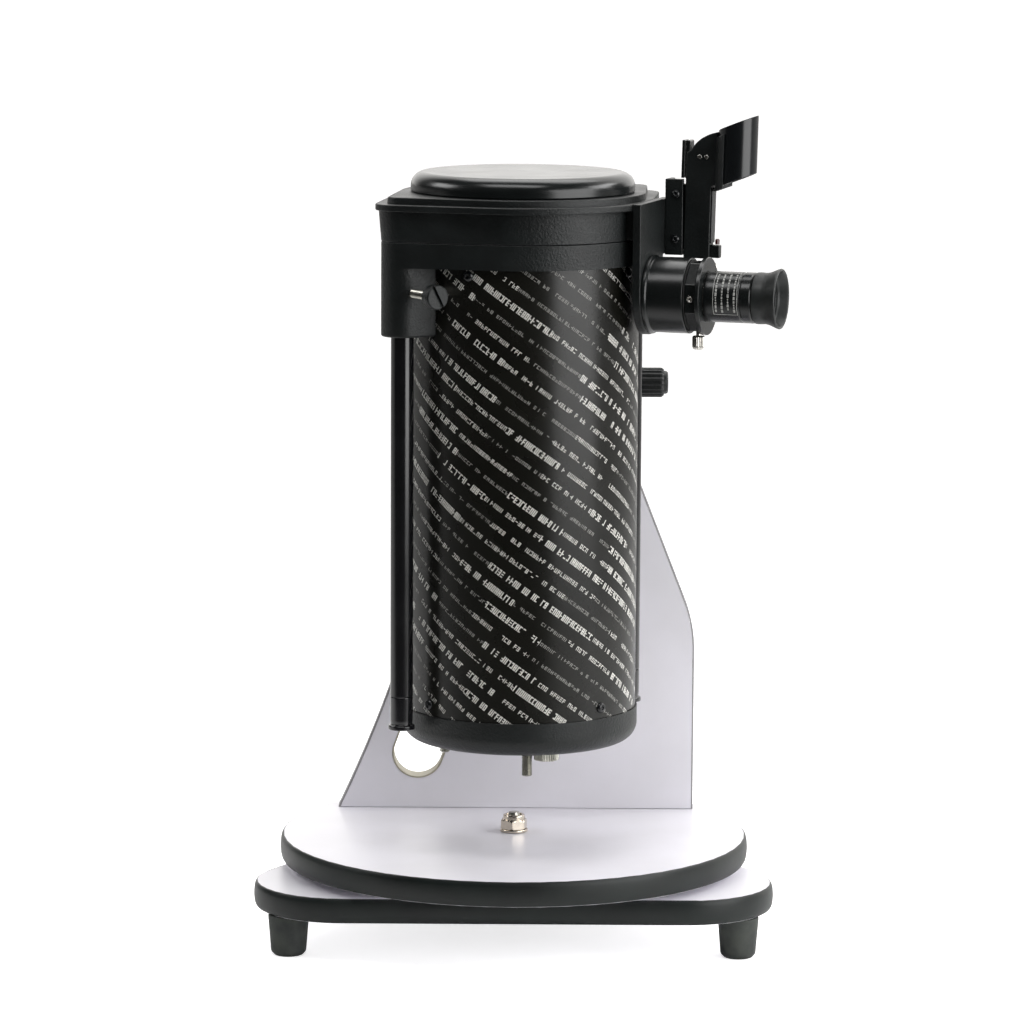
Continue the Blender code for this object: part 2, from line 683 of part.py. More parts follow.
def build_truss_locks(parents):
    for angle, parent, side in zip(ROD_ANGLES, parents, ("left", "right")):
        shank = lathe([(3.0, 0.0), (3.0, 29.5)], TINY)
        head = [(8.0, 29.0), (9.3, 30.4), (9.3, 36.4), (8.4, 37.8)]
        screw = join(lathe(head, MEDIUM), shank)
        screw = cut(screw, block((-12, -1.1, 36.2), (12, 1.1, 39)))
        rod = polar(ROD_CIRCLE, angle)
        tangent = polar(1.0, angle + 90)
        start = rod + tangent * (ROD_RADIUS + 0.5)
        frame = along((TUBE_X + start.x, TUBE_Y + start.y, LOCK_SCREW_Z), (*tangent, 0))
        spin = Matrix.Rotation(math.radians(-40), 4, "Z")
        add_piece(f"truss_lock_screw_{side}", screw, "gloss_black", parent, frame @ spin)


# ---------------------------------------------------------------- truss and upper cage

def build_truss(cage):
    wall = [(ROD_RADIUS - 1, PLUG_TOP + GAP), (ROD_RADIUS, PLUG_TOP + GAP),
            (ROD_RADIUS, ROD_TOP), (ROD_RADIUS - 1, ROD_TOP)]
    plug = [(PLUG_FLANGE_RADIUS, PLUG_BOTTOM), (PLUG_FLANGE_RADIUS, PLUG_BOTTOM + 3.2),
            (7.8, PLUG_BOTTOM + 3.2), (7.8, PLUG_TOP), (6.4, PLUG_TOP), (6.4, PLUG_TOP + 14)]
    for angle, side in zip(ROD_ANGLES, ("left", "right")):
        spot = around_tube(ROD_CIRCLE, angle)
        add_piece(f"truss_rod_{side}", lathe(wall, MEDIUM, closed=True), "gloss_black", cage,
                  at(*spot))
        add_piece(f"rod_plug_{side}", lathe(plug, SMALL), "textured_plastic", cage, at(*spot))


def build_upper_ring(cage):
    inner = 76.0
    lip = 70.0
    face = PLATE_FACE - PLATE_THICKNESS - GAP
    bottom = SPLIT_Z + 0.2
    loops = [lift(ring_hull(RING_RADIUS, BOSS_RADIUS), bottom),
             lift(ring_hull(RING_RADIUS, 16.2), FLANGE_BOTTOM),
             lift(ring_hull(FLANGE_RADIUS, 18.5), FLANGE_BOTTOM),
             lift(ring_hull(FLANGE_RADIUS, 18.5), FLANGE_TOP),
             lift(ring_hull(RING_RADIUS, 10.0), FLANGE_TOP),
             lift(ring_hull(RING_RADIUS, 10.0), RIM_TOP),
             lift(circle(lip, FINE), RIM_TOP), lift(circle(lip, FINE), FLANGE_TOP),
             lift(circle(inner, FINE), FLANGE_TOP), lift(circle(inner, FINE), bottom)]
    ring = loft(loops, closed=True)
    half = PLATE_HALF_WIDTH + GAP
    bracket = block((80, -22, bottom + 0.5), (FLANGE_RADIUS, 22, FLANGE_BOTTOM + 1))
    ring = join(ring, turned(bracket, FOCUSER_ANGLE))
    seat = block((face, -half, bottom - 1), (FLANGE_RADIUS + 5, PLATE_WING, FLANGE_TOP + 1))
    ring = cut(ring, turned(seat, FOCUSER_ANGLE))
    for angle in ROD_ANGLES:
        rod = polar(ROD_CIRCLE, angle)
        ring = drill(ring, ROD_RADIUS + GAP, (rod.x, rod.y, SPLIT_Z - 1),
                     (rod.x, rod.y, ROD_TOP + GAP), SMALL)
    add_piece("upper_ring", ring, "textured_plastic", cage, at(TUBE_X, TUBE_Y, 0))


def build_secondary(cage):
    hub_low = 503.0
    hub_high = 516.0
    vane = block((-75.6, -0.7, hub_low), (75.6, 0.7, hub_high))
    hub = lathe([(9.0, hub_low), (9.0, hub_high)], SMALL)
    spider = drill(join(vane, hub), 3.1, (0, 0, hub_low - 1), (0, 0, hub_high + 1))
    across = at(TUBE_X, TUBE_Y, 0) @ Matrix.Rotation(math.radians(FOCUSER_ANGLE + 90), 4, "Z")
    add_piece("spider_vane", spider, "anodised_black", cage, across)

    facing = at(TUBE_X, TUBE_Y, 0) @ Matrix.Rotation(math.radians(FOCUSER_ANGLE), 4, "Z")
    thickness = 7.0
    slope = lambda radius, rise: [Vector((p.x, p.y, FOCUSER_Z + rise + p.x))
                                  for p in circle(radius, MEDIUM)]
    stem = [lift(circle(16.5, MEDIUM), 500.0), lift(circle(7.0, MEDIUM), hub_low - GAP),
            lift(circle(2.7, MEDIUM), hub_low - GAP), lift(circle(2.7, MEDIUM), hub_high + 3)]
    add_piece("secondary_holder", loft([slope(16.5, thickness + 0.5)] + stem),
              "anodised_black", cage, facing)
    add_piece("secondary_mirror", loft([slope(17.5, 0.0), slope(17.5, thickness)]),
              "mirror_coating", cage, facing)


# ---------------------------------------------------------------- focuser

def focuser_axis(distance=0.0):
    """A frame on the focuser's axis, local Z outwards and local Y up."""
    out = polar(1.0, FOCUSER_ANGLE)
    origin = (TUBE_X + out.x * distance, TUBE_Y + out.y * distance, FOCUSER_Z)
    return along(origin, (*out, 0.0))


def side_frame():
    """Local X outwards from the tube, Y sideways and away, Z up."""
    return at(TUBE_X, TUBE_Y, 0) @ Matrix.Rotation(math.radians(FOCUSER_ANGLE), 4, "Z")


def build_focuser_plate(cage):
    half = PLATE_HALF_WIDTH
    outline = [Vector((half, FOCUSER_Z)), Vector((half, 486.0)), Vector((PLATE_WING, 486.0)),
               Vector((PLATE_WING, FLANGE_TOP)), Vector((-half, FLANGE_TOP))]
    outline += arc((0.0, FOCUSER_Z), half, 180.0, 360.0, 18)[:-1]
    plate = soften(prism(outline, 0.0, PLATE_THICKNESS), 0.5, 60.0)
    plate = drill(plate, 23.2, (0, FOCUSER_Z, -1), (0, FOCUSER_Z, PLATE_THICKNESS + 1), MEDIUM)
    flat = Matrix(((0, 0, 1, PLATE_FACE - PLATE_THICKNESS), (1, 0, 0, 0), (0, 1, 0, 0),
                   (0, 0, 0, 1)))
    add_piece("focuser_plate", moved(plate, flat), "textured_plastic", cage, side_frame())


def build_focuser_housing(cage):
    bore = THREAD_RADIUS + GAP
    spigot = 22.8
    lip = HOUSING_RADIUS + 1.0
    start = PLATE_FACE + GAP
    profile = [(bore, 87.2), (spigot, 87.2), (spigot, start), (lip, start), (lip, start + 2.6),
               (HOUSING_RADIUS, start + 3.4), (HOUSING_RADIUS, HOUSING_END), (bore, HOUSING_END)]
    add_piece("focuser_housing", lathe(profile, ROUND, closed=True), "textured_plastic", cage,
              focuser_axis())


def build_drawtube(ring_parent, tube_parent):
    bore = THREAD_RADIUS + GAP
    felt = [(bore, HOUSING_END + 0.25), (24.4, HOUSING_END + 0.25), (24.4, HOUSING_END + 1.0),
            (bore, HOUSING_END + 1.0)]
    add_piece("focuser_felt_ring", lathe(felt, MEDIUM, closed=True), "felt", ring_parent,
              focuser_axis())

    start = HOUSING_END + 1.3
    collar_discs = [(p.x, p.y, 1.6) for p in polygon(21.7, 8, 22.5)]
    collar = hull(collar_discs, ROUND)
    flange = circle(26.6, ROUND)
    loops = [lift(circle(THREAD_RADIUS, ROUND), 86.0), lift(circle(THREAD_RADIUS, ROUND), start),
             lift(collar, start), lift(collar, COLLAR_END), lift(flange, COLLAR_END),
             lift(flange, DRAWTUBE_END),
             lift(circle(BORE_RADIUS, ROUND), DRAWTUBE_END), lift(circle(BORE_RADIUS, ROUND), 86.0)]
    tube = loft(loops, closed=True)
    middle = (start + COLLAR_END) / 2
    for angle in (-90.0, 30.0):
        tip = polar(30.0, angle)
        tube = drill(tube, 2.1, (0, 0, middle), (tip.x, tip.y, middle))
    add_piece("focuser_drawtube", tube, "textured_plastic", tube_parent, focuser_axis())


def build_eyepiece_screws(parents):
    middle = (HOUSING_END + 1.3 + COLLAR_END) / 2
    for angle, parent, number in zip((-90.0, 30.0), parents, (1, 2)):
        shank = lathe([(1.8, 16.4), (1.8, 28.0)], TINY)
        head = prism(ribbed(4.4, 0.35, 9), 27.6, 36.8)
        screw = join(head, shank)
        spoke = polar(1.0, angle)
        frame = focuser_axis(middle) @ along((0, 0, 0), (*spoke, 0.0))
        add_piece(f"eyepiece_screw_{number}", screw, "chrome", parent, frame)


def build_eyepiece(parent):
    radius = EYEPIECE_RADIUS
    sleeve = BORE_RADIUS - 0.25
    start = DRAWTUBE_END + GAP
    barrel = [(14.8, 103.0), (sleeve, 103.0), (sleeve, start - 0.1), (14.8, start - 0.1)]
    add_piece("eyepiece_barrel", lathe(barrel, MEDIUM, closed=True), "chrome", parent, focuser_axis())
    body = [(12.0, start + 0.2), (radius, start + 0.2), (radius, EYECUP_START - 0.3),
            (15.4, EYECUP_START - 0.3), (15.4, 177.0), (12.0, 177.0)]
    add_piece("eyepiece_body", lathe(body, MEDIUM, closed=True), "anodised_black", parent,
              focuser_axis())
    cup = [(15.8, EYECUP_START), (17.6, EYECUP_START), (17.6, 175.0),
           (EYECUP_RADIUS, EYECUP_END - 1.2), (EYECUP_RADIUS - 0.7, EYECUP_END),
           (19.0, EYECUP_END), (15.8, 177.4)]
    add_piece("eyecup", lathe(cup, MEDIUM, closed=True), "rubber_black", parent, focuser_axis())
    eye_lens = lathe([(11.7, 172.0), (11.7, 175.0), (6.0, 176.2), (1.0, 176.5)], MEDIUM)
    add_piece("eyepiece_lens", eye_lens, "lens_glass", parent, focuser_axis())


# ---------------------------------------------------------------- red dot finder

def finder_frame():
    """The finder's own frame leans a little outwards about its lower back edge."""
    heel = at(FINDER_BACK, 0.0, FINDER_BOTTOM)
    lean = Matrix.Rotation(math.radians(FINDER_LEAN), 4, "Y")
    return side_frame() @ heel @ lean @ heel.inverted()


def build_finder_bracket(cage):
    foot = PLATE_FACE + GAP
    angle_iron = [(foot, 30.0), (106.0 - 0.6, 30.0), (106.0 - 0.6, 34.0), (96.0, 34.0), (96.0, 44.0),
                  (foot, 44.0)]
    bracket = prism([Vector(p) for p in angle_iron], 485.4, 537.6)
    bracket = soften(bracket, 0.5)
    for z in (496.5, 527.5):
        bracket = drill(bracket, 1.8, (100.6, 29, z), (100.6, 35, z))
    add_piece("finder_bracket", bracket, "textured_plastic", cage, side_frame())


def build_finder_body(cage):
    """Clamp rail behind the bracket, long body, and a yoke that carries the hood."""
    near = FINDER_NEAR
    far = FINDER_FAR
    side = [(FINDER_BACK + 0.4, FINDER_BOTTOM), (FINDER_FRONT, FINDER_BOTTOM),
            (FINDER_FRONT, 534.0), (129.6, 535.0), (129.6, 571.4), (124.0, 569.4),
            (116.0, 564.6), (110.0, 559.5), (FINDER_BACK + 0.4, 559.5)]
    loops = [[(x, y, z) for x, z in side] for y in (near, far)]
    body = soften(loft(loops), 0.7, 30.0)
    rail = block((97.0, 34.8, 489.0), (108.0, 40.4, 534.0))
    body = join(body, rail)
    cheeks = block((102.8, near, 538.4), (108.0, far, 564.0))
    body = join(body, soften(cheeks, 1.0))
    body = cut(body, lathe([(HOOD_RADIUS + 2 * GAP, 520), (HOOD_RADIUS + 2 * GAP, 590)], MEDIUM,
                           centre=(HOOD_OUT, HOOD_SIDE)))
    emitter = block((123.0, 33.0, 485.0), (131.0, 38.2, 493.5))
    body = join(body, emitter)
    for z in (496.5, 527.5):
        body = drill(body, 1.8, (100.6, 34, z), (100.6, 36.6, z))
    lean_free = finder_frame()
    add_piece("finder_body", body, "textured_plastic", cage, lean_free)


def build_finder_optics(cage, switch_parent):
    wall = 1.6
    rise = math.tan(math.radians(20.0))

    def slanted(radius, z):
        return [Vector((p.x + HOOD_OUT, p.y + HOOD_SIDE, z + p.x * rise))
                for p in circle(radius, MEDIUM)]

    low = 538.2
    high = 577.8
    loops = [slanted(HOOD_RADIUS, low), slanted(HOOD_RADIUS, high),
             slanted(HOOD_RADIUS - wall, high), slanted(HOOD_RADIUS - wall, low)]
    add_piece("finder_hood", loft(loops, closed=True), "gloss_black", cage, finder_frame())
    glass = HOOD_RADIUS - wall - GAP
    lens = [slanted(glass, high - 6.0), slanted(glass, high - 3.4)]
    add_piece("finder_lens", loft(lens), "lens_glass", cage, finder_frame())

    led = lathe([(1.6, 0.0), (1.6, 3.0), (1.0, 3.8)], TINY)
    add_piece("finder_led", led, "lens_glass", cage, finder_frame() @ at(128.6, HOOD_SIDE, 493.8))

    dial = prism(ribbed(9.0, 0.5, 10), 0.0, 5.0)
    cap = lathe([(8.2, 4.8), (7.0, 6.0)], MEDIUM)
    frame = finder_frame() @ along((115.0, FINDER_FAR + GAP, 503.0), (0, 1, 0))
    add_piece("finder_switch_dial", join(dial, cap), "gloss_black", switch_parent, frame)


# ---------------------------------------------------------------- dust cap

def build_dust_cap(parent):
    shoulder = arc((CAP_RADIUS - CAP_EDGE_RADIUS, CAP_TOP - CAP_EDGE_RADIUS), CAP_EDGE_RADIUS,
                   0.0, 90.0, 5)
    profile = [(2.0, CAP_TOP - 2.4), (65.5, CAP_TOP - 2.4), (65.5, 518.4),
               (69.6, 518.4), (69.6, CAP_BOTTOM), (CAP_RADIUS, CAP_BOTTOM)]
    profile += [tuple(p) for p in shoulder] + [(2.0, CAP_TOP - 0.6)]
    add_piece("dust_cap", lathe(profile, FINE), "cap_plastic", parent, at(TUBE_X, TUBE_Y, 0))


# ---------------------------------------------------------------- assembly

def build_base(base, turntable):
    build_ground_board(base)
    build_feet(base)
    build_glide_pads(base)
    build_azimuth_pivot(base)
    build_turntable(turntable)
    build_side_arm(turntable)


def build_tube_group(tilt):
    build_saddle(tilt)
    build_dovetail(tilt)
    build_lower_tube(tilt)
    build_mirror_cell(tilt)
    build_primary_mirror(tilt)
    build_lower_ring(tilt)
    build_clamp_knob(add_empty("clamp_knob_axis", at(TUBE_X, 54, ALTITUDE_Z), tilt))
    knobs = [add_empty(f"collimation_axis_{i + 1}", at(*around_tube(COLLIMATION_CIRCLE, angle)),
                       tilt) for i, angle in enumerate(COLLIMATION_ANGLES)]
    build_collimation(knobs)
    locks = [add_empty(f"truss_lock_axis_{i + 1}", at(*around_tube(ROD_CIRCLE, angle, LOCK_SCREW_Z)),
                       tilt) for i, angle in enumerate(ROD_ANGLES)]
    build_truss_locks(locks)


def build_cage_group(cage):
    build_truss(cage)
    build_upper_ring(cage)
    build_secondary(cage)
    build_focuser_plate(cage)
    build_focuser_housing(cage)
    felt = add_empty("focuser_turn", focuser_axis(), cage)
    draw = add_empty("focuser_travel", focuser_axis(), felt)
    build_drawtube(felt, draw)
    middle = (HOUSING_END + 1.3 + COLLAR_END) / 2
    screws = [add_empty(f"eyepiece_screw_axis_{n}", focuser_axis(middle), draw) for n in (1, 2)]
    build_eyepiece_screws(screws)
    build_eyepiece(add_empty("eyepiece_slide", focuser_axis(), draw))
    build_finder_bracket(cage)
    build_finder_body(cage)
    dial = finder_frame() @ at(115.0, FINDER_FAR, 503.0)
    build_finder_optics(cage, add_empty("finder_dial_axis", dial, cage))
    build_dust_cap(add_empty("dust_cap_lift", at(TUBE_X, TUBE_Y, CAP_BOTTOM), cage))


def main():
    clear_scene()
    base = add_empty("base_origin", at(0, 0, 0))
    turntable = add_empty("azimuth_axis", at(0, 0, TABLE_TOP), base)
    tilt = add_empty("altitude_axis", at(TUBE_X, ARM_FRONT, ALTITUDE_Z), turntable)
    tension = add_empty("tension_knob_axis", at(TUBE_X, ARM_BACK, ALTITUDE_Z), tilt)
    cage = add_empty("truss_slide", at(TUBE_X, TUBE_Y, SPLIT_Z), tilt)
    build_base(base, turntable)
    build_altitude_bearing(turntable, tilt, tension)
    build_tube_group(tilt)
    build_cage_group(cage)


main()
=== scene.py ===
"""Looks of the tabletop reflector telescope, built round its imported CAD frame.

Shapes are drawn in millimetres about the azimuth pivot, with the feet on z = 0, and
moved to the frame's metres when each piece is added.
"""
import math

import bmesh
import bpy
from mathutils import Matrix, Vector, noise


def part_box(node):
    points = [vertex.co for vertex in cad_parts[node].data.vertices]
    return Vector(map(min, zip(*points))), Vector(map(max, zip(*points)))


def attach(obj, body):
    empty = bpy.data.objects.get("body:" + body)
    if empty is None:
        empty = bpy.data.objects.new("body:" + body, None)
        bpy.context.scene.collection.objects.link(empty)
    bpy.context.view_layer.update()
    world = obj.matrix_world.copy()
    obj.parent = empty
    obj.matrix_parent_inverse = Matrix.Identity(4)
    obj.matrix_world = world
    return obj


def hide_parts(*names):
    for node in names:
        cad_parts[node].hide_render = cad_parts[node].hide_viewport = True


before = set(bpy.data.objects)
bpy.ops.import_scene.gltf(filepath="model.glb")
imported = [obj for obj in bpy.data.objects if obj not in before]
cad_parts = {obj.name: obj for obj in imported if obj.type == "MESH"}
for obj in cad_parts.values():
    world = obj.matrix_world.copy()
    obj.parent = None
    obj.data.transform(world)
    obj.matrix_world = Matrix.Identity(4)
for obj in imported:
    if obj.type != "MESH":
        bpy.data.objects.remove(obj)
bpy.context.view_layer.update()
MM = 0.001
PIVOT = (sum(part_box("turntable_board"), Vector()) / 2 / MM).to_2d().to_3d()


def span(node):
    """Lowest and highest corner of a CAD node, in drawing millimetres."""
    return tuple(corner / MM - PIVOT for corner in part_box(node))


def middle(node):
    return sum(span(node), Vector()) / 2


# Driving places and sizes, read from the frame
TUBE_LOW, TUBE_HIGH = span("lower_tube")
TUBE = middle("lower_tube").to_2d()
TUBE_R = (TUBE_HIGH.x - TUBE_LOW.x) / 2
CELL_LOW, CELL_HIGH = span("mirror_cell")
RING_LOW, RING_HIGH = span("lower_ring")
CAGE_LOW, CAGE_HIGH = span("upper_ring")
CAP_LOW, CAP_HIGH = span("dust_cap")
RODS = [middle("truss_rod_left").to_2d(), middle("truss_rod_right").to_2d()]
ROD_R = (span("truss_rod_left")[1].x - span("truss_rod_left")[0].x) / 2
ARM_LOW, ARM_HIGH = span("side_arm_edging")
ALTITUDE = middle("altitude_bolt")
FOCUS_Z = middle("eyepiece_body").z
TABLE_TOP = span("turntable_board")[1].z
TABLE_BOTTOM = span("turntable_board")[0].z

# Design values that a box can't give
FOCUS_ANGLE = -18.0            # the focuser points this way round the tube
GRIP_LOW = (-70.0, 110.0)
GRIP_HIGH = (-48.8, 168.3)
GRIP_R = 17.4
BAND_THICK = 1.1               # the arm's edge band and the grip slot's liner
ARM_SHOULDER_R = 98.0
ARM_SHOULDER_Z = 186.8
ARM_LEAN = 21.4
ARM_HEAD_R = 52.0
RING_LOW_Z = 481.3             # underside of the lower ring, apart from its rod clamps
RING_R = 84.0
BOSS_R = 14.5                  # of the ring's ears, round the rods
FLANGE_R = 91.5
FLANGE_BOSS_R = 18.5
FLANGE_LOW = 519.6
FLANGE_HIGH = 524.0
PLATE_FACE = 92.6
PLATE_THICK = 5.7
PLATE_HALF = 27.5
PLATE_WING = 44.0
MOUNT_HALF = 22.0
FOCUSER_BORE = 21.9            # from here on, distances along the focuser's axis
HOUSING_END = 121.3
DRAWTUBE_INNER_END = 87.0
DRAWTUBE_COLLAR = (122.6, 130.2)
DRAWTUBE_END = 133.2
EYEPIECE_START = 133.6
EYEPIECE_R = 17.4
EYECUP_START = 167.0
EYECUP_END = 184.6
COLLIMATION_R = 58.0
KNOB_ANGLES = (-71.6, 48.4, 168.4)
LOCK_ANGLES = (-85.0, 35.0, 155.0)
WRAP_SLANT = 35.5              # degrees that the printed rows fall towards the right
WRAP_ROW = 11.7
WRAP_PHRASE = 46.0
WRAP_MARK = 2.6
FINE = 160                     # corners of a circle
ROUND = 96
SMALL = 48
KNOB = 180


# ---- outlines and solids

def polar(radius, angle):
    turn = math.radians(angle)
    return Vector((radius * math.cos(turn), radius * math.sin(turn)))


def hull(discs, count):
    """Points of a convex outline wrapped round discs (x, y, radius)."""
    points = []
    for index in range(count):
        turn = math.tau * index / count
        facing = Vector((math.cos(turn), math.sin(turn)))
        disc = max(discs, key=lambda d: d[0] * facing.x + d[1] * facing.y + d[2])
        points.append(Vector(disc[:2]) + facing * disc[2])
    return points


def circle(radius, count=ROUND, centre=(0.0, 0.0)):
    return hull([(centre[0], centre[1], radius)], count)


def arc(centre, radius, start, end, count):
    step = (end - start) / count
    return [Vector(centre) + polar(radius, start + step * i) for i in range(count + 1)]


def curve(first, pull, last, count):
    """A quadratic curve from first to last that leaves both towards pull."""
    ts = [i / count for i in range(count + 1)]
    return [first * (1 - t) ** 2 + pull * 2 * t * (1 - t) + last * t * t for t in ts]


def rounded(points, radius, closed=False, steps=4):
    """Round a profile's corners. Ends of an open profile stay as they are."""
    points = [Vector(p) for p in points]
    result = []
    count = len(points)
    for index, point in enumerate(points):
        if not closed and index in (0, count - 1):
            result.append(point)
            continue
        before = points[index - 1] - point
        after = points[(index + 1) % count] - point
        if before.angle(-after) < 0.12:
            result.append(point)
            continue
        reach = min(radius, before.length * 0.45, after.length * 0.45)
        result += curve(point + before.normalized() * reach, point,
                        point + after.normalized() * reach, steps)
    return result


def lift(outline, z):
    return [Vector((p.x, p.y, z)) for p in outline]


def loft(loops, closed=False, shape=None):
    shape = shape or bmesh.new()
    rings = [[shape.verts.new(point) for point in loop] for loop in loops]
    pairs = list(zip(rings, rings[1:]))
    if closed:
        pairs.append((rings[-1], rings[0]))
    for low, high in pairs:
        for i in range(len(low)):
            j = (i + 1) % len(low)
            shape.faces.new((low[i], low[j], high[j], high[i]))
    if not closed:
        shape.faces.new(list(reversed(rings[0])))
        shape.faces.new(rings[-1])
    return shape


def stack(outline_of, section):
    """Loops from (inset or radius, z) pairs and an outline that takes the first value."""
    return [lift(outline_of(value), z) for value, z in section]


def discs(section, count=KNOB):
    return stack(lambda radius: circle(radius, count), section)


def sweep(outline_of, section, closed=True, shape=None):
    return loft(stack(outline_of, section), closed, shape)


def lathe(profile, count=ROUND, closed=False, shape=None):
    return sweep(lambda radius: circle(radius, count), profile, closed, shape)


def hoop(corners, radius, count=ROUND):
    """A lathed ring whose closed section has these (radius, z) corners, rounded."""
    return lathe(rounded(corners, radius, closed=True), count, closed=True)


def prism(outline, low, high, shape=None):
    return loft([lift(outline, low), lift(outline, high)], shape=shape)


def block(low, high, shape=None):
    corners = [(low[0], low[1]), (high[0], low[1]), (high[0], high[1]), (low[0], high[1])]
    return prism([Vector(c) for c in corners], low[2], high[2], shape)


def knurled(radius, depth, ribs, per_rib=8):
    """A round outline with soft lengthwise ribs."""
    count = ribs * per_rib
    points = []
    for index in range(count):
        wave = math.cos(math.tau * index / per_rib)
        points.append(polar(radius - depth * (0.5 - 0.5 * wave), 360.0 * index / count))
    return points


def nut_outline(half_flats, limit, turn, count=120):
    """A hexagon cut back to a circle, so that a cone chamfers its corners."""
    points = []
    for index in range(count):
        angle = 360.0 * index / count
        off_flat = math.radians((angle - turn) % 60.0 - 30.0)
        points.append(polar(min(half_flats / math.cos(off_flat), limit), angle))
    return points


def thread(radius, pitch, low, high):
    """Profile points of a screw thread drawn as close grooves, from low to high."""
    depth = pitch * 0.42
    count = max(1, int((high - low) / pitch))
    points = []
    for index in range(count):
        z = low + index * pitch
        points += [(radius - depth, z), (radius, z + pitch * 0.5)]
    return points + [(radius - depth, low + count * pitch)]


def along(origin, direction, up=(0.0, 0.0, 1.0)):
    """A frame at origin whose local Z runs along direction and whose Y leans to up."""
    z_axis = Vector(direction).normalized()
    x_axis = Vector(up).cross(z_axis).normalized()
    turn = Matrix((x_axis, z_axis.cross(x_axis), z_axis)).transposed().to_4x4()
    return Matrix.Translation(origin) @ turn


def at(x, y, z=0.0):
    return Matrix.Translation((x, y, z))


def turn_z(angle):
    return Matrix.Rotation(math.radians(angle), 4, "Z")


ON_TUBE = at(TUBE.x, TUBE.y)
TO_SIDE = ON_TUBE @ turn_z(FOCUS_ANGLE)
OUT = polar(1.0, FOCUS_ANGLE).to_3d()
BACKWARDS = Vector((0.0, 1.0, 0.0))
UPRIGHT = Matrix(((1, 0, 0, 0), (0, 0, 1, 0), (0, 1, 0, 0), (0, 0, 0, 1)))


def on_focuser(distance=0.0):
    origin = Vector((TUBE.x, TUBE.y, FOCUS_Z)) + OUT * distance
    return along(origin, OUT)


def put_in_scene(name, data):
    made = bpy.data.objects.new(name, data)
    bpy.context.scene.collection.objects.link(made)
    return made


def add(name, shape, finish, body, place=None, replaces=(), slot=None, bevel=0.0):
    """Make a piece from a bmesh, with the finish's material, riding on a body."""
    bmesh.ops.remove_doubles(shape, verts=shape.verts, dist=0.0005)
    bmesh.ops.recalc_face_normals(shape, faces=shape.faces)
    if shape.calc_volume(signed=True) < 0:
        bmesh.ops.reverse_faces(shape, faces=shape.faces)
    shape.transform(Matrix.Scale(MM, 4) @ Matrix.Translation(PIVOT) @ (place or Matrix()))
    mesh = bpy.data.meshes.new(name)
    shape.to_mesh(mesh)
    shape.free()
    mesh.shade_smooth()
    mesh.set_sharp_from_angle(angle=math.radians(32))
    mesh.materials.append(finish)
    piece = put_in_scene(name, mesh)
    if bevel:
        soften(piece, bevel)
    weigh = piece.modifiers.new("weigh", "WEIGHTED_NORMAL")
    weigh.keep_sharp = True
    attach(piece, body)
    look = finish.name.removeprefix("look_")
    slot or BORROWED_SLOTS.get(look, look)
    if replaces:
        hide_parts(*replaces)
    return piece


def soften(piece, width):
    edge = piece.modifiers.new("soften", "BEVEL")
    edge.width = width * MM
    edge.segments = 2
    edge.limit_method = "ANGLE"
    edge.angle_limit = math.radians(40)


def keep(nodes, finish, bevel=0.0):
    """Give kept CAD nodes a finish, and round their edges a little."""
    for node in nodes:
        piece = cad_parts[node]
        for holder in piece.material_slots:
            holder.material = finish
        if bevel:
            soften(piece, bevel)


# ---- finishes

class Nodes:
    """Makes and joins the nodes of one tree."""

    def __init__(self, tree):
        self.tree = tree

    def node(self, kind, inputs=None, **settings):
        made = self.tree.nodes.new(kind)
        for key, value in settings.items():
            setattr(made, key, value)
        for key, value in (inputs or {}).items():
            self.feed(made.inputs[key], value)
        return made

    def feed(self, socket, value):
        if isinstance(value, bpy.types.NodeSocket):
            self.tree.links.new(value, socket)
        else:
            socket.default_value = value

    def maths(self, operation, *values):
        return self.node("ShaderNodeMath", dict(enumerate(values)), operation=operation).outputs[0]

    def ranged(self, value, low, high, to_low, to_high, **settings):
        inputs = {"Value": value, "From Min": low, "From Max": high,
                  "To Min": to_low, "To Max": to_high}
        return self.node("ShaderNodeMapRange", inputs, **settings).outputs["Result"]


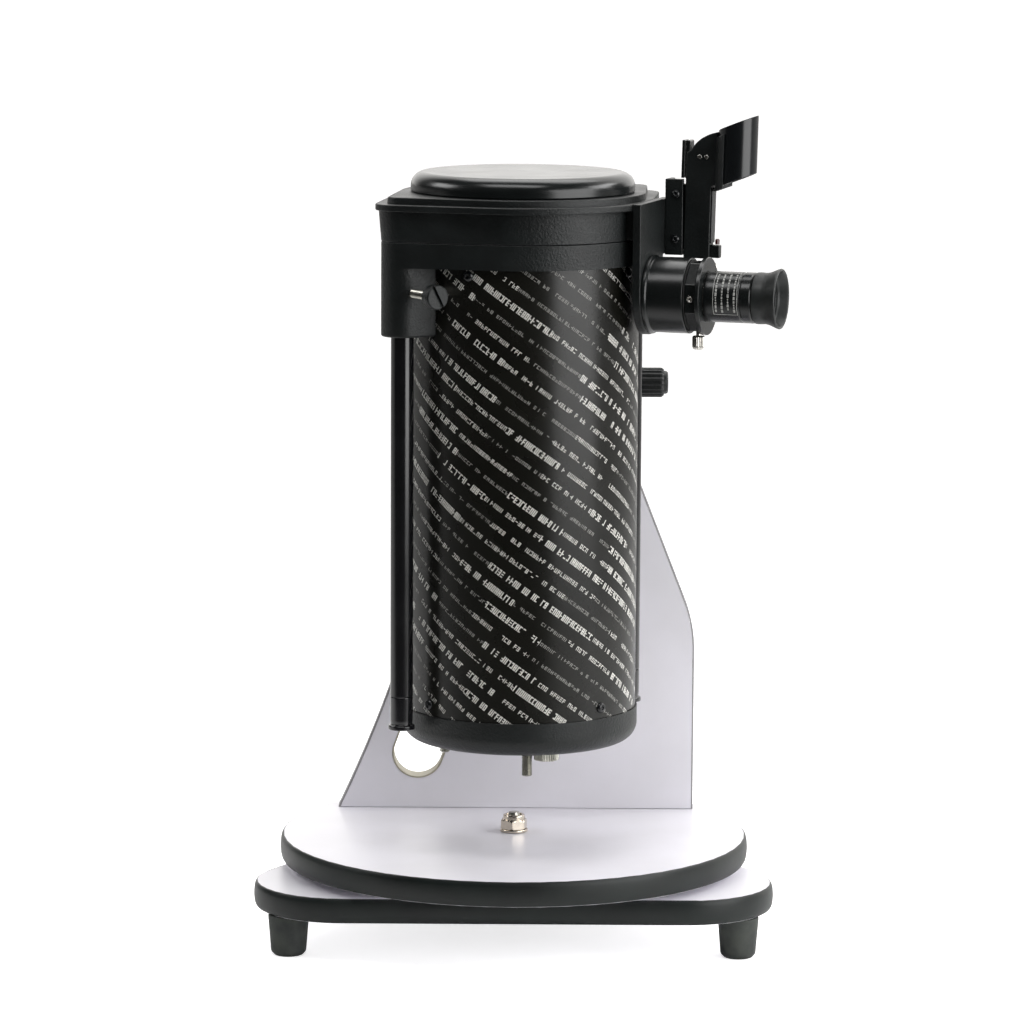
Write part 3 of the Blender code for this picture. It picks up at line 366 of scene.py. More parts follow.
class Finish(Nodes):
    """A procedural material: its Principled shader, with nodes hung on it by method."""

    def __init__(self, name, colour, roughness, metallic=0.0, coat=0.0, gleam=0.5):
        self.material = bpy.data.materials.new("look_" + name)
        self.material.use_nodes = True
        super().__init__(self.material.node_tree)
        self.shader = self.tree.nodes["Principled BSDF"]
        self.colour = colour
        self.shader.inputs["Base Color"].default_value = (*colour, 1.0)
        self.shader.inputs["Roughness"].default_value = roughness
        self.shader.inputs["Metallic"].default_value = metallic
        self.shader.inputs["Coat Weight"].default_value = coat
        self.shader.inputs["Coat Roughness"].default_value = 0.12
        self.shader.inputs["Specular IOR Level"].default_value = gleam
        self.roughness = roughness
        self.place = self.node("ShaderNodeTexCoord").outputs["Object"]

    def noise(self, scale, detail=3.0, stretch=None):
        place = self.place
        if stretch:
            place = self.node("ShaderNodeMapping", {"Vector": place, "Scale": stretch}).outputs[0]
        inputs = {"Vector": place, "Scale": scale, "Detail": detail}
        return self.node("ShaderNodeTexNoise", inputs).outputs["Fac"]

    def blend(self, factor, first, second):
        """Mix two colours. The numbers are the node's colour sockets."""
        first, second = (colour + (1.0,) if isinstance(colour, tuple) else colour
                         for colour in (first, second))
        return self.node("ShaderNodeMix", {0: factor, 6: first, 7: second},
                         data_type="RGBA").outputs[2]

    def paint(self, colour):
        self.tree.links.new(colour, self.shader.inputs["Base Color"])

    def mottle(self, scale, amount, tint=(1.0, 1.0, 1.0)):
        """Let the colour drift a little darker and lighter over the surface."""
        dark = tuple(c * (1 - amount) for c in self.colour)
        light = tuple(min(1.0, c * (1 + amount) * t) for c, t in zip(self.colour, tint))
        drift = self.ranged(self.noise(scale, 5.0), 0.35, 0.65, 0.0, 1.0)
        self.paint(self.blend(drift, dark, light))
        return self

    def smudge(self, scale, amount):
        """Let the roughness vary, as handled surfaces do."""
        value = self.ranged(self.noise(scale, 6.0), 0.3, 0.7, self.roughness - amount,
                            self.roughness + amount)
        self.tree.links.new(value, self.shader.inputs["Roughness"])
        return self

    def relief(self, height, depth):
        """Bump from a height socket, over any bump already there."""
        inputs = {"Height": height, "Distance": depth * MM, "Strength": 1.0}
        link = self.shader.inputs["Normal"]
        if link.is_linked:
            inputs["Normal"] = link.links[0].from_socket
        self.tree.links.new(self.node("ShaderNodeBump", inputs).outputs["Normal"], link)
        return self

    def grain(self, scale, depth, detail=2.0, stretch=None):
        return self.relief(self.noise(scale, detail, stretch=stretch), depth)


def laminate():
    made = Finish("white_laminate", (0.83, 0.815, 0.86), 0.36)
    made.mottle(14.0, 0.03, (1.0, 1.0, 1.01))
    made.smudge(9.0, 0.06)
    made.grain(900.0, 0.05)
    return made.grain(120.0, 0.02).material


def textured_plastic():
    """Spark-eroded moulding: fine pebbled skin that scatters the light."""
    made = Finish("textured_plastic", (0.006, 0.0078, 0.0078), 0.42, gleam=0.38)
    made.mottle(60.0, 0.25)
    made.smudge(25.0, 0.06)
    made.grain(620.0, 0.35, 3.0)
    return made.grain(2100.0, 0.08).material


def edging_rubber():
    made = Finish("edging_black", (0.005, 0.0078, 0.0073), 0.42, gleam=0.4)
    made.mottle(22.0, 0.3, (1.1, 1.1, 1.05))
    made.smudge(12.0, 0.08)
    made.grain(1500.0, 0.06)
    return made.grain(70.0, 0.12).material


def foot_rubber():
    made = Finish("rubber_black", (0.028, 0.033, 0.031), 0.66)
    made.mottle(80.0, 0.3, (1.2, 1.15, 1.05))
    made.smudge(40.0, 0.08)
    return made.grain(1300.0, 0.1).material


def plain(name, colour, roughness, metallic=0.0, coat=0.0, mottle=0.12, smudge=0.05,
          grain=0.03, scale=60.0):
    made = Finish(name, colour, roughness, metallic, coat)
    made.mottle(scale, mottle)
    made.smudge(scale * 0.6, smudge)
    return made.grain(scale * 22, grain).material


def turned_metal(name, colour, roughness):
    """Metal with fine lengthwise and crosswise tool marks."""
    made = Finish(name, colour, roughness, 1.0)
    made.mottle(150.0, 0.1)
    made.smudge(220.0, 0.07)
    made.grain(500.0, 0.02, stretch=(1.0, 1.0, 9.0))
    return made.material


def printed_wrap():
    """Near-black vinyl with slanted rows of small pale dash-built marks, which spell nothing."""
    made = Finish("tube_wrap", (0.024, 0.022, 0.018), 0.27, gleam=0.36)
    maths = made.maths
    axes = made.node("ShaderNodeSeparateXYZ", {"Vector": made.place}).outputs
    east = maths("SUBTRACT", axes[0], (TUBE.x + PIVOT.x) * MM)
    north = maths("SUBTRACT", axes[1], (TUBE.y + PIVOT.y) * MM)
    angle = maths("ARCTAN2", east, maths("MULTIPLY", north, -1.0))
    across = maths("MULTIPLY", angle, TUBE_R)
    up = maths("DIVIDE", axes[2], MM)
    slant = math.radians(WRAP_SLANT)
    run = maths("SUBTRACT", maths("MULTIPLY", across, math.cos(slant)),
                maths("MULTIPLY", up, math.sin(slant)))
    rise = maths("ADD", maths("MULTIPLY", across, math.sin(slant)),
                 maths("MULTIPLY", up, math.cos(slant)))
    row = maths("FLOOR", maths("DIVIDE", rise, WRAP_ROW))
    height = maths("MULTIPLY", maths("SUBTRACT", maths("FRACT", maths("DIVIDE", rise, WRAP_ROW)),
                                     0.5), WRAP_ROW)

    def chance(first, second, seed):
        vector = made.node("ShaderNodeCombineXYZ", {0: first, 1: second, 2: seed}).outputs[0]
        return made.node("ShaderNodeTexWhiteNoise", {"Vector": vector}).outputs["Value"]

    def within(value, centre, half):
        return maths("LESS_THAN", maths("ABSOLUTE", maths("SUBTRACT", value, centre)), half)

    shifted = maths("ADD", run, maths("MULTIPLY", chance(row, 0.0, 1.0), 400.0))
    style = chance(row, maths("FLOOR", maths("DIVIDE", shifted, WRAP_PHRASE)), 2.0)
    bold = maths("GREATER_THAN", style, 0.68)
    faint = maths("LESS_THAN", style, 0.26)
    half_height = maths("ADD", maths("MULTIPLY", bold, 0.75),
                        maths("SUBTRACT", 1.55, maths("MULTIPLY", faint, 0.35)))
    mark = maths("DIVIDE", shifted, WRAP_MARK)
    cell = maths("FLOOR", mark)
    inside = maths("FRACT", mark)
    level = maths("DIVIDE", height, half_height)
    stroke = maths("ADD", 0.085, maths("MULTIPLY", bold, 0.065))
    parts = []
    for seed, centre, odds in ((3.0, 0.18, 0.25), (4.0, 0.68, 0.45)):
        shown = maths("GREATER_THAN", chance(row, cell, seed), odds)
        parts.append(maths("MULTIPLY", shown, within(inside, centre, stroke)))
    for seed, centre, odds in ((5.0, 0.78, 0.45), (6.0, 0.0, 0.5), (7.0, -0.78, 0.5)):
        shown = maths("GREATER_THAN", chance(row, cell, seed), odds)
        bar = maths("MULTIPLY", within(level, centre, 0.17), within(inside, 0.43, 0.36))
        parts.append(maths("MULTIPLY", shown, bar))
    ink = parts[0]
    for part in parts[1:]:
        ink = maths("MAXIMUM", ink, part)
    ink = maths("MULTIPLY", ink, within(level, 0.0, 1.0))
    ink = maths("MULTIPLY", ink, maths("GREATER_THAN", chance(row, cell, 8.0), 0.13))
    strength = maths("SUBTRACT", 0.85, maths("MULTIPLY", faint, 0.5))
    worn = made.ranged(made.noise(300.0), 0.3, 0.6, 0.8, 1.0)
    ink = maths("MULTIPLY", maths("MULTIPLY", ink, strength), worn)
    base = made.blend(made.ranged(made.noise(18.0, 5.0), 0.35, 0.65, 0.0, 1.0),
                      (0.0055, 0.0055, 0.0042), (0.0085, 0.0083, 0.0064))
    made.paint(made.blend(ink, base, (0.80, 0.79, 0.74)))
    made.smudge(30.0, 0.03)
    made.grain(1700.0, 0.03)
    return made.relief(ink, 0.03).material


def lens_glass():
    made = Finish("lens_glass", (0.75, 0.85, 0.88), 0.03)
    made.shader.inputs["Transmission Weight"].default_value = 0.9
    made.shader.inputs["Coat Weight"].default_value = 0.5
    made.shader.inputs["Coat Tint"].default_value = (0.6, 0.75, 1.0, 1.0)
    return made.grain(40.0, 0.004).material


LAMINATE = laminate()
TEXTURED = textured_plastic()
EDGING = edging_rubber()
RUBBER = foot_rubber()
WRAP = printed_wrap()
GLASS = lens_glass()
BAND = plain("edge_grey", (0.30, 0.29, 0.30), 0.5)
CREAM = plain("grip_cream", (0.40, 0.37, 0.29), 0.5)
NYLON = plain("nylon_white", (0.72, 0.72, 0.68), 0.45)
SATIN = plain("cap_plastic", (0.006, 0.0075, 0.0075), 0.25, mottle=0.2, smudge=0.02, grain=0.02,
              scale=50.0)
GLOSS = plain("gloss_black", (0.005, 0.006, 0.007), 0.24, coat=0.1, mottle=0.2, grain=0.01)
ROD_BLACK = plain("rod_black", (0.005, 0.005, 0.006), 0.2, coat=0.4, mottle=0.2, grain=0.01)
MATT = plain("tube_inside", (0.015, 0.015, 0.015), 0.8, grain=0.15)
ANODISED = plain("anodised_black", (0.010, 0.010, 0.011), 0.33, 0.4, mottle=0.15, scale=90.0)
CAST = plain("cast_grey", (0.17, 0.17, 0.18), 0.5, 0.6, grain=0.25, scale=40.0)
FELT = plain("felt", (0.02, 0.02, 0.02), 0.95, mottle=0.3, grain=0.6)
LED = plain("led_red", (0.05, 0.006, 0.006), 0.2, coat=0.5)
CUP = plain("eyecup_rubber", (0.013, 0.015, 0.0145), 0.45, mottle=0.2, grain=0.05, scale=80.0)
INK = plain("label_ink", (0.42, 0.42, 0.40), 0.5)
MIRROR = plain("mirror_coating", (0.88, 0.89, 0.91), 0.03, 1.0, mottle=0.02, smudge=0.02,
               grain=0.001, scale=20.0)
CHROME = turned_metal("chrome", (0.72, 0.70, 0.66), 0.13)
NICKEL = turned_metal("nickel", (0.70, 0.63, 0.53), 0.16)
ZINC = turned_metal("zinc_steel", (0.48, 0.47, 0.42), 0.3)

# Finishes are named after the record's slots, but for these, which the table pairs with a slot
# name
BORROWED_SLOTS = {"tube_inside": "tube_wrap", "label_ink": "anodised_black",
                  "nickel": "zinc_steel", "eyecup_rubber": "rubber_black"}


# ---- rocker base

def edging_section(low, high):
    """T-moulding with a bulging face, as (inset, z), from its underside to its top."""
    inside = [(2.3, low), (1.2, low + 0.4), (0.35, low + 1.7), (-0.25, low + 4.0),
              (-0.6, (low + high) / 2)]
    return inside + [(inset, low + high - z) for inset, z in reversed(inside[:-1])]


def make_base():
    low, high = span("ground_board_edging")
    corner = 63.0
    places = [(low.x + corner, low.y + corner), (high.x - corner, low.y + corner),
              (0.0, high.y - corner)]
    band = sweep(lambda inset: hull([(x, y, corner - inset) for x, y in places], FINE * 2),
                 edging_section(low.z, high.z))
    add("ground_edging", band, EDGING, "base", replaces=["ground_board_edging"])

    low, high = span("turntable_edging")
    radius = (high.x - low.x) / 2
    band = sweep(lambda inset: circle(radius - inset, FINE * 2), edging_section(low.z, high.z))
    add("table_edging", band, EDGING, "turntable", replaces=["turntable_edging"])

    for number in (1, 2, 3):
        node = f"rubber_foot_{number}"
        low, high = span(node)
        top = (high.x - low.x) / 2
        height = high.z - low.z
        profile = [(5.0, 1.4), (7.0, 1.4), (7.6, 0.0), (9.8, 0.0), (top - 2.1, 2.6),
                   (top, height), (6.0, height)]
        add(f"foot_{number}", lathe(rounded(profile, 1.2), SMALL * 2), RUBBER, "base",
            at(*middle(node).to_2d()), replaces=[node])
    keep([f"glide_pad_{n}" for n in (1, 2, 3)], NYLON, 0.6)
    keep(["ground_board", "turntable_board"], LAMINATE, 0.25)


def make_pivot_hardware():
    """Washer, domed lock nut and the bolt with its threaded end."""
    washer_low, washer_high = span("azimuth_washer")
    rim = (washer_high.x - washer_low.x) / 2
    washer = hoop([(5.4, washer_low.z), (rim, washer_low.z), (rim, washer_high.z),
                   (5.4, washer_high.z)], 0.6)
    add("pivot_washer", washer, NICKEL, "base", replaces=["azimuth_washer"])

    low, high = span("azimuth_nut")
    facing = -100.6                # a corner of the hexagon faces almost forwards
    flats_top = high.z - 3.4
    loops = [lift(nut_outline(8.5, limit, facing), z) for limit, z in
             ((9.1, low.z), (9.8, low.z + 0.6), (9.8, flats_top - 1.5), (9.3, flats_top - 0.7),
              (8.5, flats_top))]
    dome = rounded([(7.8, flats_top + 0.1), (7.6, high.z - 0.6), (6.9, high.z), (5.6, high.z),
                    (5.3, high.z - 1.4), (5.2, low.z)], 0.8)
    loops += discs(dome, 120)
    add("pivot_nut", loft(loops, closed=True), NICKEL, "base", replaces=["azimuth_nut"])

    low, high = span("azimuth_bolt")
    hexagon = [lift(nut_outline(8.3, limit, 0.0), z) for limit, z in
               ((8.3, low.z), (9.6, low.z + 0.9), (9.6, low.z + 6.4))]
    shank = [(4.9, low.z + 6.4), (4.9, TABLE_TOP - 8)]
    shank += thread(4.95, 1.5, TABLE_TOP - 8, high.z - 1.2) + [(3.6, high.z)]
    add("pivot_bolt", loft(hexagon + discs(shank, 120)), ZINC, "base", replaces=["azimuth_bolt"])


# ---- side arm

def arm_outline(inset):
    """The arm's outline in (x, height), anticlockwise from the right foot."""
    head = Vector((TUBE.x, ALTITUDE.z))
    head_r = ARM_HEAD_R - inset
    foot = ARM_LOW.z
    left_top = Vector((head.x - head_r, head.y))
    left_foot = Vector((ARM_LOW.x + inset * 1.1, foot))
    pull = Vector((left_top.x, foot + (left_top.x - left_foot.x) / 0.47))
    right = ARM_HIGH.x - inset
    shoulder = (ARM_HIGH.x - ARM_SHOULDER_R, ARM_SHOULDER_Z)
    points = [Vector((right, foot))]
    points += arc(shoulder, ARM_SHOULDER_R - inset, 0.0, ARM_LEAN, 14)
    points += arc(head, head_r, ARM_LEAN, 180.0, 60)
    return points + curve(left_top, pull, left_foot, 44)[1:]


def grip_outline(radius):
    return hull([(*GRIP_LOW, radius), (*GRIP_HIGH, radius)], ROUND)


def make_arm():
    front, back = ARM_LOW.y, ARM_HIGH.y
    core = bmesh.new()
    edge = arm_outline(1.2)
    hole = grip_outline(GRIP_R + 1.2)
    bore = circle(5.6, 40, (TUBE.x, ALTITUDE.z))
    for y in (front, back):
        rims = []
        for outline in (edge, hole, bore):
            corners = [core.verts.new((p.x, y, p.y)) for p in outline]
            rims.append([core.edges.new((corners[i - 1], corners[i]))
                         for i in range(len(corners))])
        bmesh.ops.triangle_fill(core, edges=sum(rims, []), use_beauty=True)
    core.verts.ensure_lookup_table()
    half = len(core.verts) // 2
    offset = 0
    for outline in (edge, hole, bore):
        size = len(outline)
        for i in range(size):
            a, b = offset + i, offset + (i + 1) % size
            core.faces.new([core.verts[k] for k in (a, b, half + b, half + a)])
        offset += size
    add("arm_board", core, LAMINATE, "turntable", replaces=["side_arm"], bevel=0.25)

    outside = arm_outline(0.0)
    inside = arm_outline(BAND_THICK)
    loops = [[(o.x, front + 0.2, o.y), (o.x, back - 0.2, o.y), (i.x, back, i.y),
              (i.x, front, i.y)] for o, i in zip(outside, inside)]
    add("arm_edge_band", loft(loops), BAND, "turntable", replaces=["side_arm_edging"])

    wall = rounded([(GRIP_R + 1.15, front - 0.3), (GRIP_R + 1.15, back + 0.3),
                    (GRIP_R, back + 0.3), (GRIP_R, front - 0.3)], 0.35, closed=True)
    add("grip_liner", sweep(grip_outline, wall), CREAM, "turntable", UPRIGHT,
        replaces=["grip_hole_liner"])

    heads = rounded([(1.6, 1.4), (2.2, 0.0), (4.6, 0.0), (2.6, 2.6)], 0.3)
    for number, x in enumerate((-90.0, 0.0, 90.0), 1):
        add(f"arm_screw_{number}", lathe(heads, SMALL), ZINC, "turntable",
            at(x, (front + back) / 2, TABLE_BOTTOM - 0.6))


# ---- altitude bearing

def make_bearing():
    keep(["altitude_friction_pad"], NYLON, 0.3)
    keep(["altitude_flange"], TEXTURED, 0.8)
    keep(["saddle", "saddle_jaw"], CAST, 0.5)
    keep(["dovetail_bar"], ANODISED, 0.4)

    low, high = span("altitude_bolt")
    centre = Vector((ALTITUDE.x, low.y, ALTITUDE.z))
    head = rounded([(3.0, 2.8), (4.0, 2.8), (4.2, 0.0), (9.0, 0.0), (9.0, 5.6), (4.9, 5.6)], 0.5)
    length = high.y - low.y
    shank = thread(4.9, 1.5, 40.0, length - 1.0) + [(3.7, length)]
    add("tilt_bolt", lathe(head + [Vector(p) for p in shank], SMALL), ZINC, "tube",
        along(centre, BACKWARDS), replaces=["altitude_bolt"])

    low, high = span("altitude_tension_knob")
    depth = high.y - low.y
    radius = (high.x - low.x) / 2
    hub = discs([(15.0, 0.0), (15.0, 3.6)])
    grip = stack(lambda r: knurled(r, 2.6 * r / radius, 9, 20),
                 rounded([(16.0, 3.6), (radius, 4.2), (radius, 16.5),
                          (radius - 3.0, depth - 0.8)], 1.5))
    top = discs(rounded([(radius - 6.0, depth - 0.4), (radius - 9.0, depth), (9.5, depth),
                         (8.8, depth - 1.8), (5.4, depth - 1.8), (5.3, 0.0)], 0.6))
    add("tilt_tension_knob", loft(hub + grip + top, closed=True), TEXTURED, "tension_knob",
        along((ALTITUDE.x, low.y, ALTITUDE.z), BACKWARDS), replaces=["altitude_tension_knob"])

    low, high = span("saddle_clamp_knob")
    centre = middle("saddle_clamp_knob")
    radius = (high.z - low.z) / 2
    length = high.x - low.x
    start = length - 31.0
    shank = discs([(2.6, 0.0), (3.1, 0.8), (3.1, 26.5), (5.4, 26.5), (5.4, start - 3.0)])
    grip = stack(lambda r: knurled(r, 0.9 * r / radius, 18, 10),
                 rounded([(8.2, start - 3.0), (radius, start + 1.0), (radius, length - 4.6),
                          (radius - 1.3, length - 3.0)], 1.6))
    nose = discs(rounded([(radius - 2.2, length - 3.0), (radius - 2.8, length),
                          (2.0, length)], 1.6))
    add("saddle_knob", loft(shank + grip + nose), TEXTURED, "clamp_knob",
        along((low.x, centre.y, centre.z), (1, 0, 0)), replaces=["saddle_clamp_knob"])


# ---- tube

def make_tube():
    keep(["lower_tube"], MATT)
    skin = TUBE_R + 0.04
    low, high = CELL_HIGH.z - 8.0, RING_LOW_Z + 6.0
    sheet = [(skin, low), (skin + 0.16, low), (skin + 0.16, high), (skin, high)]
    add("printed_wrap", lathe(sheet, FINE * 2, closed=True), WRAP, "tube", ON_TUBE)

    head = rounded([(1.8, -1.0), (1.8, 0.25), (3.7, 0.25), (3.6, 1.0), (2.6, 2.2), (1.3, 2.5),
                    (0.9, 1.4), (0.3, 1.2)], 0.5)
    near_cell = [(angle, CELL_HIGH.z + 7.6) for angle in (-141.0, -46.5, 43.5, 133.5)]
    near_ring = [(-117.0 + 90 * i, RING_LOW_Z - 4.6) for i in range(4)]
    for number, (angle, z) in enumerate(near_cell + near_ring, 1):
        out = polar(TUBE_R, angle)
        frame_here = along((TUBE.x + out.x, TUBE.y + out.y, z), out.to_3d())
        add(f"tube_screw_{number}", lathe(head, SMALL), GLOSS, "tube", frame_here)


def make_cell():
    radius = (CELL_HIGH.x - CELL_LOW.x) / 2
    low, high = CELL_LOW.z, CELL_HIGH.z
    seat = TUBE_LOW.z - 0.3
    corner = arc((radius - 12.0, low + 12.0), 12.0, -90.0, 0.0, 12)
    profile = [Vector((40.0, low))] + corner + rounded(
        [corner[-1], (radius, high), (TUBE_R + 0.3, high), (TUBE_R + 0.3, seat),
         (73.5, seat), (73.5, low + 4.0), (39.0, low + 4.0)], 0.6)[1:]
    profile += [Vector((38.2, low + 3.4)), Vector((38.2, low + 0.8))]
    add("rear_cell", lathe(profile, FINE, closed=True), TEXTURED, "tube", ON_TUBE,
        replaces=["mirror_cell"])

    for number, angle in enumerate(KNOB_ANGLES, 1):
        node = f"collimation_knob_{number}"
        bottom, top = span(node)
        place = ON_TUBE @ at(*polar(COLLIMATION_R, angle))
        disc = stack(lambda r: knurled(r, 0.5, 30, 6),
                     rounded([(6.6, bottom.z), (8.5, bottom.z + 0.5), (8.5, low - 0.5),
                              (4.4, low - 0.3)], 0.4))
        shank = discs([(3.0, low - 0.3), (3.0, top.z)])
        add(f"collimation_screw_{number}", loft(disc + shank), ZINC, f"collimator_{number}",
            place, replaces=[node])
        add(f"collimation_spring_{number}", coil(4.9, 0.55, low + 4.2, low + 13.8, 3.5), ZINC,
            "tube", place)

    stud = [(2.4, low - 16.6)] + thread(3.55, 1.0, low - 16.2, low - 2.0)
    stud += [(3.4, low - 2.0), (2.8, low + 4.0), (2.8, low + 13.6)]
    collar = [(3.7, low - 1.8), (5.3, low - 1.8), (5.3, low - 0.2), (3.7, low - 0.2)]
    for number, angle in enumerate(LOCK_ANGLES, 1):
        place = ON_TUBE @ at(*polar(COLLIMATION_R, angle))
        add(f"lock_screw_{number}", lathe(stud, SMALL), ZINC, "tube", place)
        add(f"lock_collar_{number}", hoop(collar, 0.6, SMALL), GLOSS, "tube", place)

    keep(["mirror_support"], CAST, 0.4)
    keep(["primary_mirror", "secondary_mirror"], MIRROR)
    keep(["mirror_retainer"], RUBBER, 0.3)


def coil(radius, wire, low, high, turns):
    """A compression spring of round wire."""
    steps = int(turns * 24)
    loops = []
    for index in range(steps + 1):
        turn = math.tau * turns * index / steps
        out = Vector((math.cos(turn), math.sin(turn), 0.0))
        rise = low + wire + (high - low - 2 * wire) * index / steps
        centre = out * radius + Vector((0, 0, rise))
        loops.append([centre + out * (wire * math.cos(a)) + Vector((0, 0, wire * math.sin(a)))
                      for a in (math.tau * k / 10 for k in range(10))])
    return loft(loops)


# ---- rings

def ring_outline(radius, boss_r, reach=None):
    """A ring's outline about the tube axis, cut off flat where the focuser plate sits."""
    bosses = [((rod - TUBE).x, (rod - TUBE).y, boss_r) for rod in RODS]
    points = hull([(0.0, 0.0, radius)] + bosses, FINE * 2)
    if reach:
        facing = OUT.to_2d()
        points = [p - facing * max(0.0, p.dot(facing) - reach) for p in points]
    return points


def make_lower_ring():
    top = RING_HIGH.z
    bore = TUBE_R + 0.3
    outer = rounded([(0.0, RING_LOW_Z), (0.0, top), (4.0, top)], 0.55)
    loops = [lift(ring_outline(RING_R - inset, BOSS_R - inset), z) for inset, z in outer]
    inner = rounded([(77.0, top), (76.4, top - 0.8), (76.4, top - 2.1), (bore, top - 2.1),
                     (bore, RING_LOW_Z)], 0.4)
    loops += discs(inner, FINE * 2)
    add("clamp_ring", loft(loops, closed=True), TEXTURED, "tube", ON_TUBE,
        replaces=["lower_ring"])

    for side, rod in zip(("left", "right"), RODS):
        away = rod - TUBE
        angle = math.degrees(math.atan2(away.y, away.x))
        add(f"rod_clamp_{side}", clamp_stub(away.length, bore), TEXTURED, "tube",
            ON_TUBE @ turn_z(angle))


def clamp_stub(reach, bore):
    """The rod clamp below the ring, with its rod on local +X and its inner side on the tube."""
    low = RING_LOW.z
    section = [(1.4, low), (0.9, low + 0.1), (0.4, low + 0.4), (0.1, low + 0.9),
               (-0.02, low + 1.6), (-0.02, RING_LOW_Z + 1.2)]
    loops = []
    for inset, z in section:
        half = BOSS_R - inset
        tip = arc((reach, 0.0), half, -90.0, 90.0, 28)
        inner = []
        for index in range(13):
            y = half - 2 * half * index / 12
            inner.append(Vector((math.sqrt(bore ** 2 - y ** 2) + max(0.0, inset), y)))
        loops.append(lift(tip + inner, z))
    return loft(loops)


def make_upper_ring():
    low, high = CAGE_LOW.z, CAGE_HIGH.z
    seat = PLATE_FACE - PLATE_THICK - 0.25
    wall = rounded([(4.0, low), (0.0, low), (-0.9, FLANGE_LOW)], 0.55)
    loops = stack(lambda inset: ring_outline(
        RING_R - max(inset, 0.0), BOSS_R - inset * (1.9 if inset < 0 else 1.0), seat), wall)
    flange = rounded([(6.0, FLANGE_LOW), (0.0, FLANGE_LOW), (0.0, FLANGE_HIGH),
                      (6.0, FLANGE_HIGH)], 0.7)
    loops += stack(lambda inset: ring_outline(FLANGE_R - inset, FLANGE_BOSS_R - inset, seat),
                   flange[1:-1])
    rim = rounded([(-0.5, FLANGE_HIGH), (0.0, high), (6.0, high)], 0.8)
    loops += stack(lambda inset: ring_outline(RING_R - inset, 10.0 - inset, seat), rim)
    inner = rounded([(71.0, high), (70.0, high - 0.6), (70.0, FLANGE_HIGH), (76.0, FLANGE_HIGH),
                     (76.0, low)], 0.5)
    loops += discs(inner, FINE * 2)
    add("cage_ring", loft(loops, closed=True), TEXTURED, "cage", ON_TUBE,
        replaces=["upper_ring"])
    mount = block((78.0, -MOUNT_HALF, low + 0.5), (seat, MOUNT_HALF, FLANGE_LOW))
    add("focuser_mount", mount, TEXTURED, "cage", TO_SIDE, bevel=0.6)


def make_truss():
    for side, rod in zip(("left", "right"), RODS):
        low, high = span(f"truss_rod_{side}")
        wall = [(ROD_R - 1.0, low.z), (ROD_R, low.z), (ROD_R, high.z), (ROD_R - 1.0, high.z)]
        add(f"rod_{side}", hoop(wall, 0.3, SMALL * 2), ROD_BLACK, "cage", at(*rod),
            replaces=[f"truss_rod_{side}"])

        low, high = span(f"rod_plug_{side}")
        rim = (high.x - low.x) / 2
        top = low.z + 22.9
        plug = [(3.0, low.z + 0.6), (4.0, low.z), (rim, low.z), (rim, low.z + 2.9),
                (ROD_R - 0.5, low.z + 3.6), (ROD_R - 0.1, low.z + 6.0), (ROD_R, top - 4.0),
                (ROD_R, top), (ROD_R - 1.6, top), (ROD_R - 1.6, high.z), (3.0, high.z)]
        add(f"rod_end_{side}", lathe(rounded(plug, 0.8), SMALL * 2), ROD_BLACK, "cage", at(*rod),
            replaces=[f"rod_plug_{side}"], slot="textured_plastic")

        outward = (rod - TUBE).normalized()
        tangent = Vector((-outward.y, outward.x, 0.0))
        centre = middle(f"truss_lock_screw_{side}")
        start = Vector((rod.x, rod.y, centre.z)) + tangent * (ROD_R + 0.5)
        shank = [(2.2, 0.0)] + thread(3.0, 1.0, 0.6, 26.0) + [(3.0, 26.6), (3.0, 28.6)]
        add(f"lock_shank_{side}", lathe(shank, SMALL), ZINC, f"truss_lock_{side}",
            along(start, tangent), replaces=[f"truss_lock_screw_{side}"])
        add(f"lock_head_{side}", slotted_head(), TEXTURED, f"truss_lock_{side}",
            along(start, tangent) @ turn_z(-62.0), bevel=0.35)


def slotted_head():
    """A round head with a coin slot, as two half discs on a whole one."""
    shape = lathe(rounded([(3.1, 28.4), (7.0, 28.4), (8.4, 30.2), (8.4, 35.6)], 0.8), SMALL * 2)
    for side in (-1, 1):
        half = [p for p in circle(8.4, SMALL * 2) if p.y * side > 1.05]
        half.sort(key=lambda p: math.atan2(p.y, p.x))
        inset = [p * 0.92 for p in half]
        loft([lift(half, 35.55), lift(half, 37.0), lift(inset, 37.8)], shape=shape)
    return shape


# ---- focuser and eyepiece

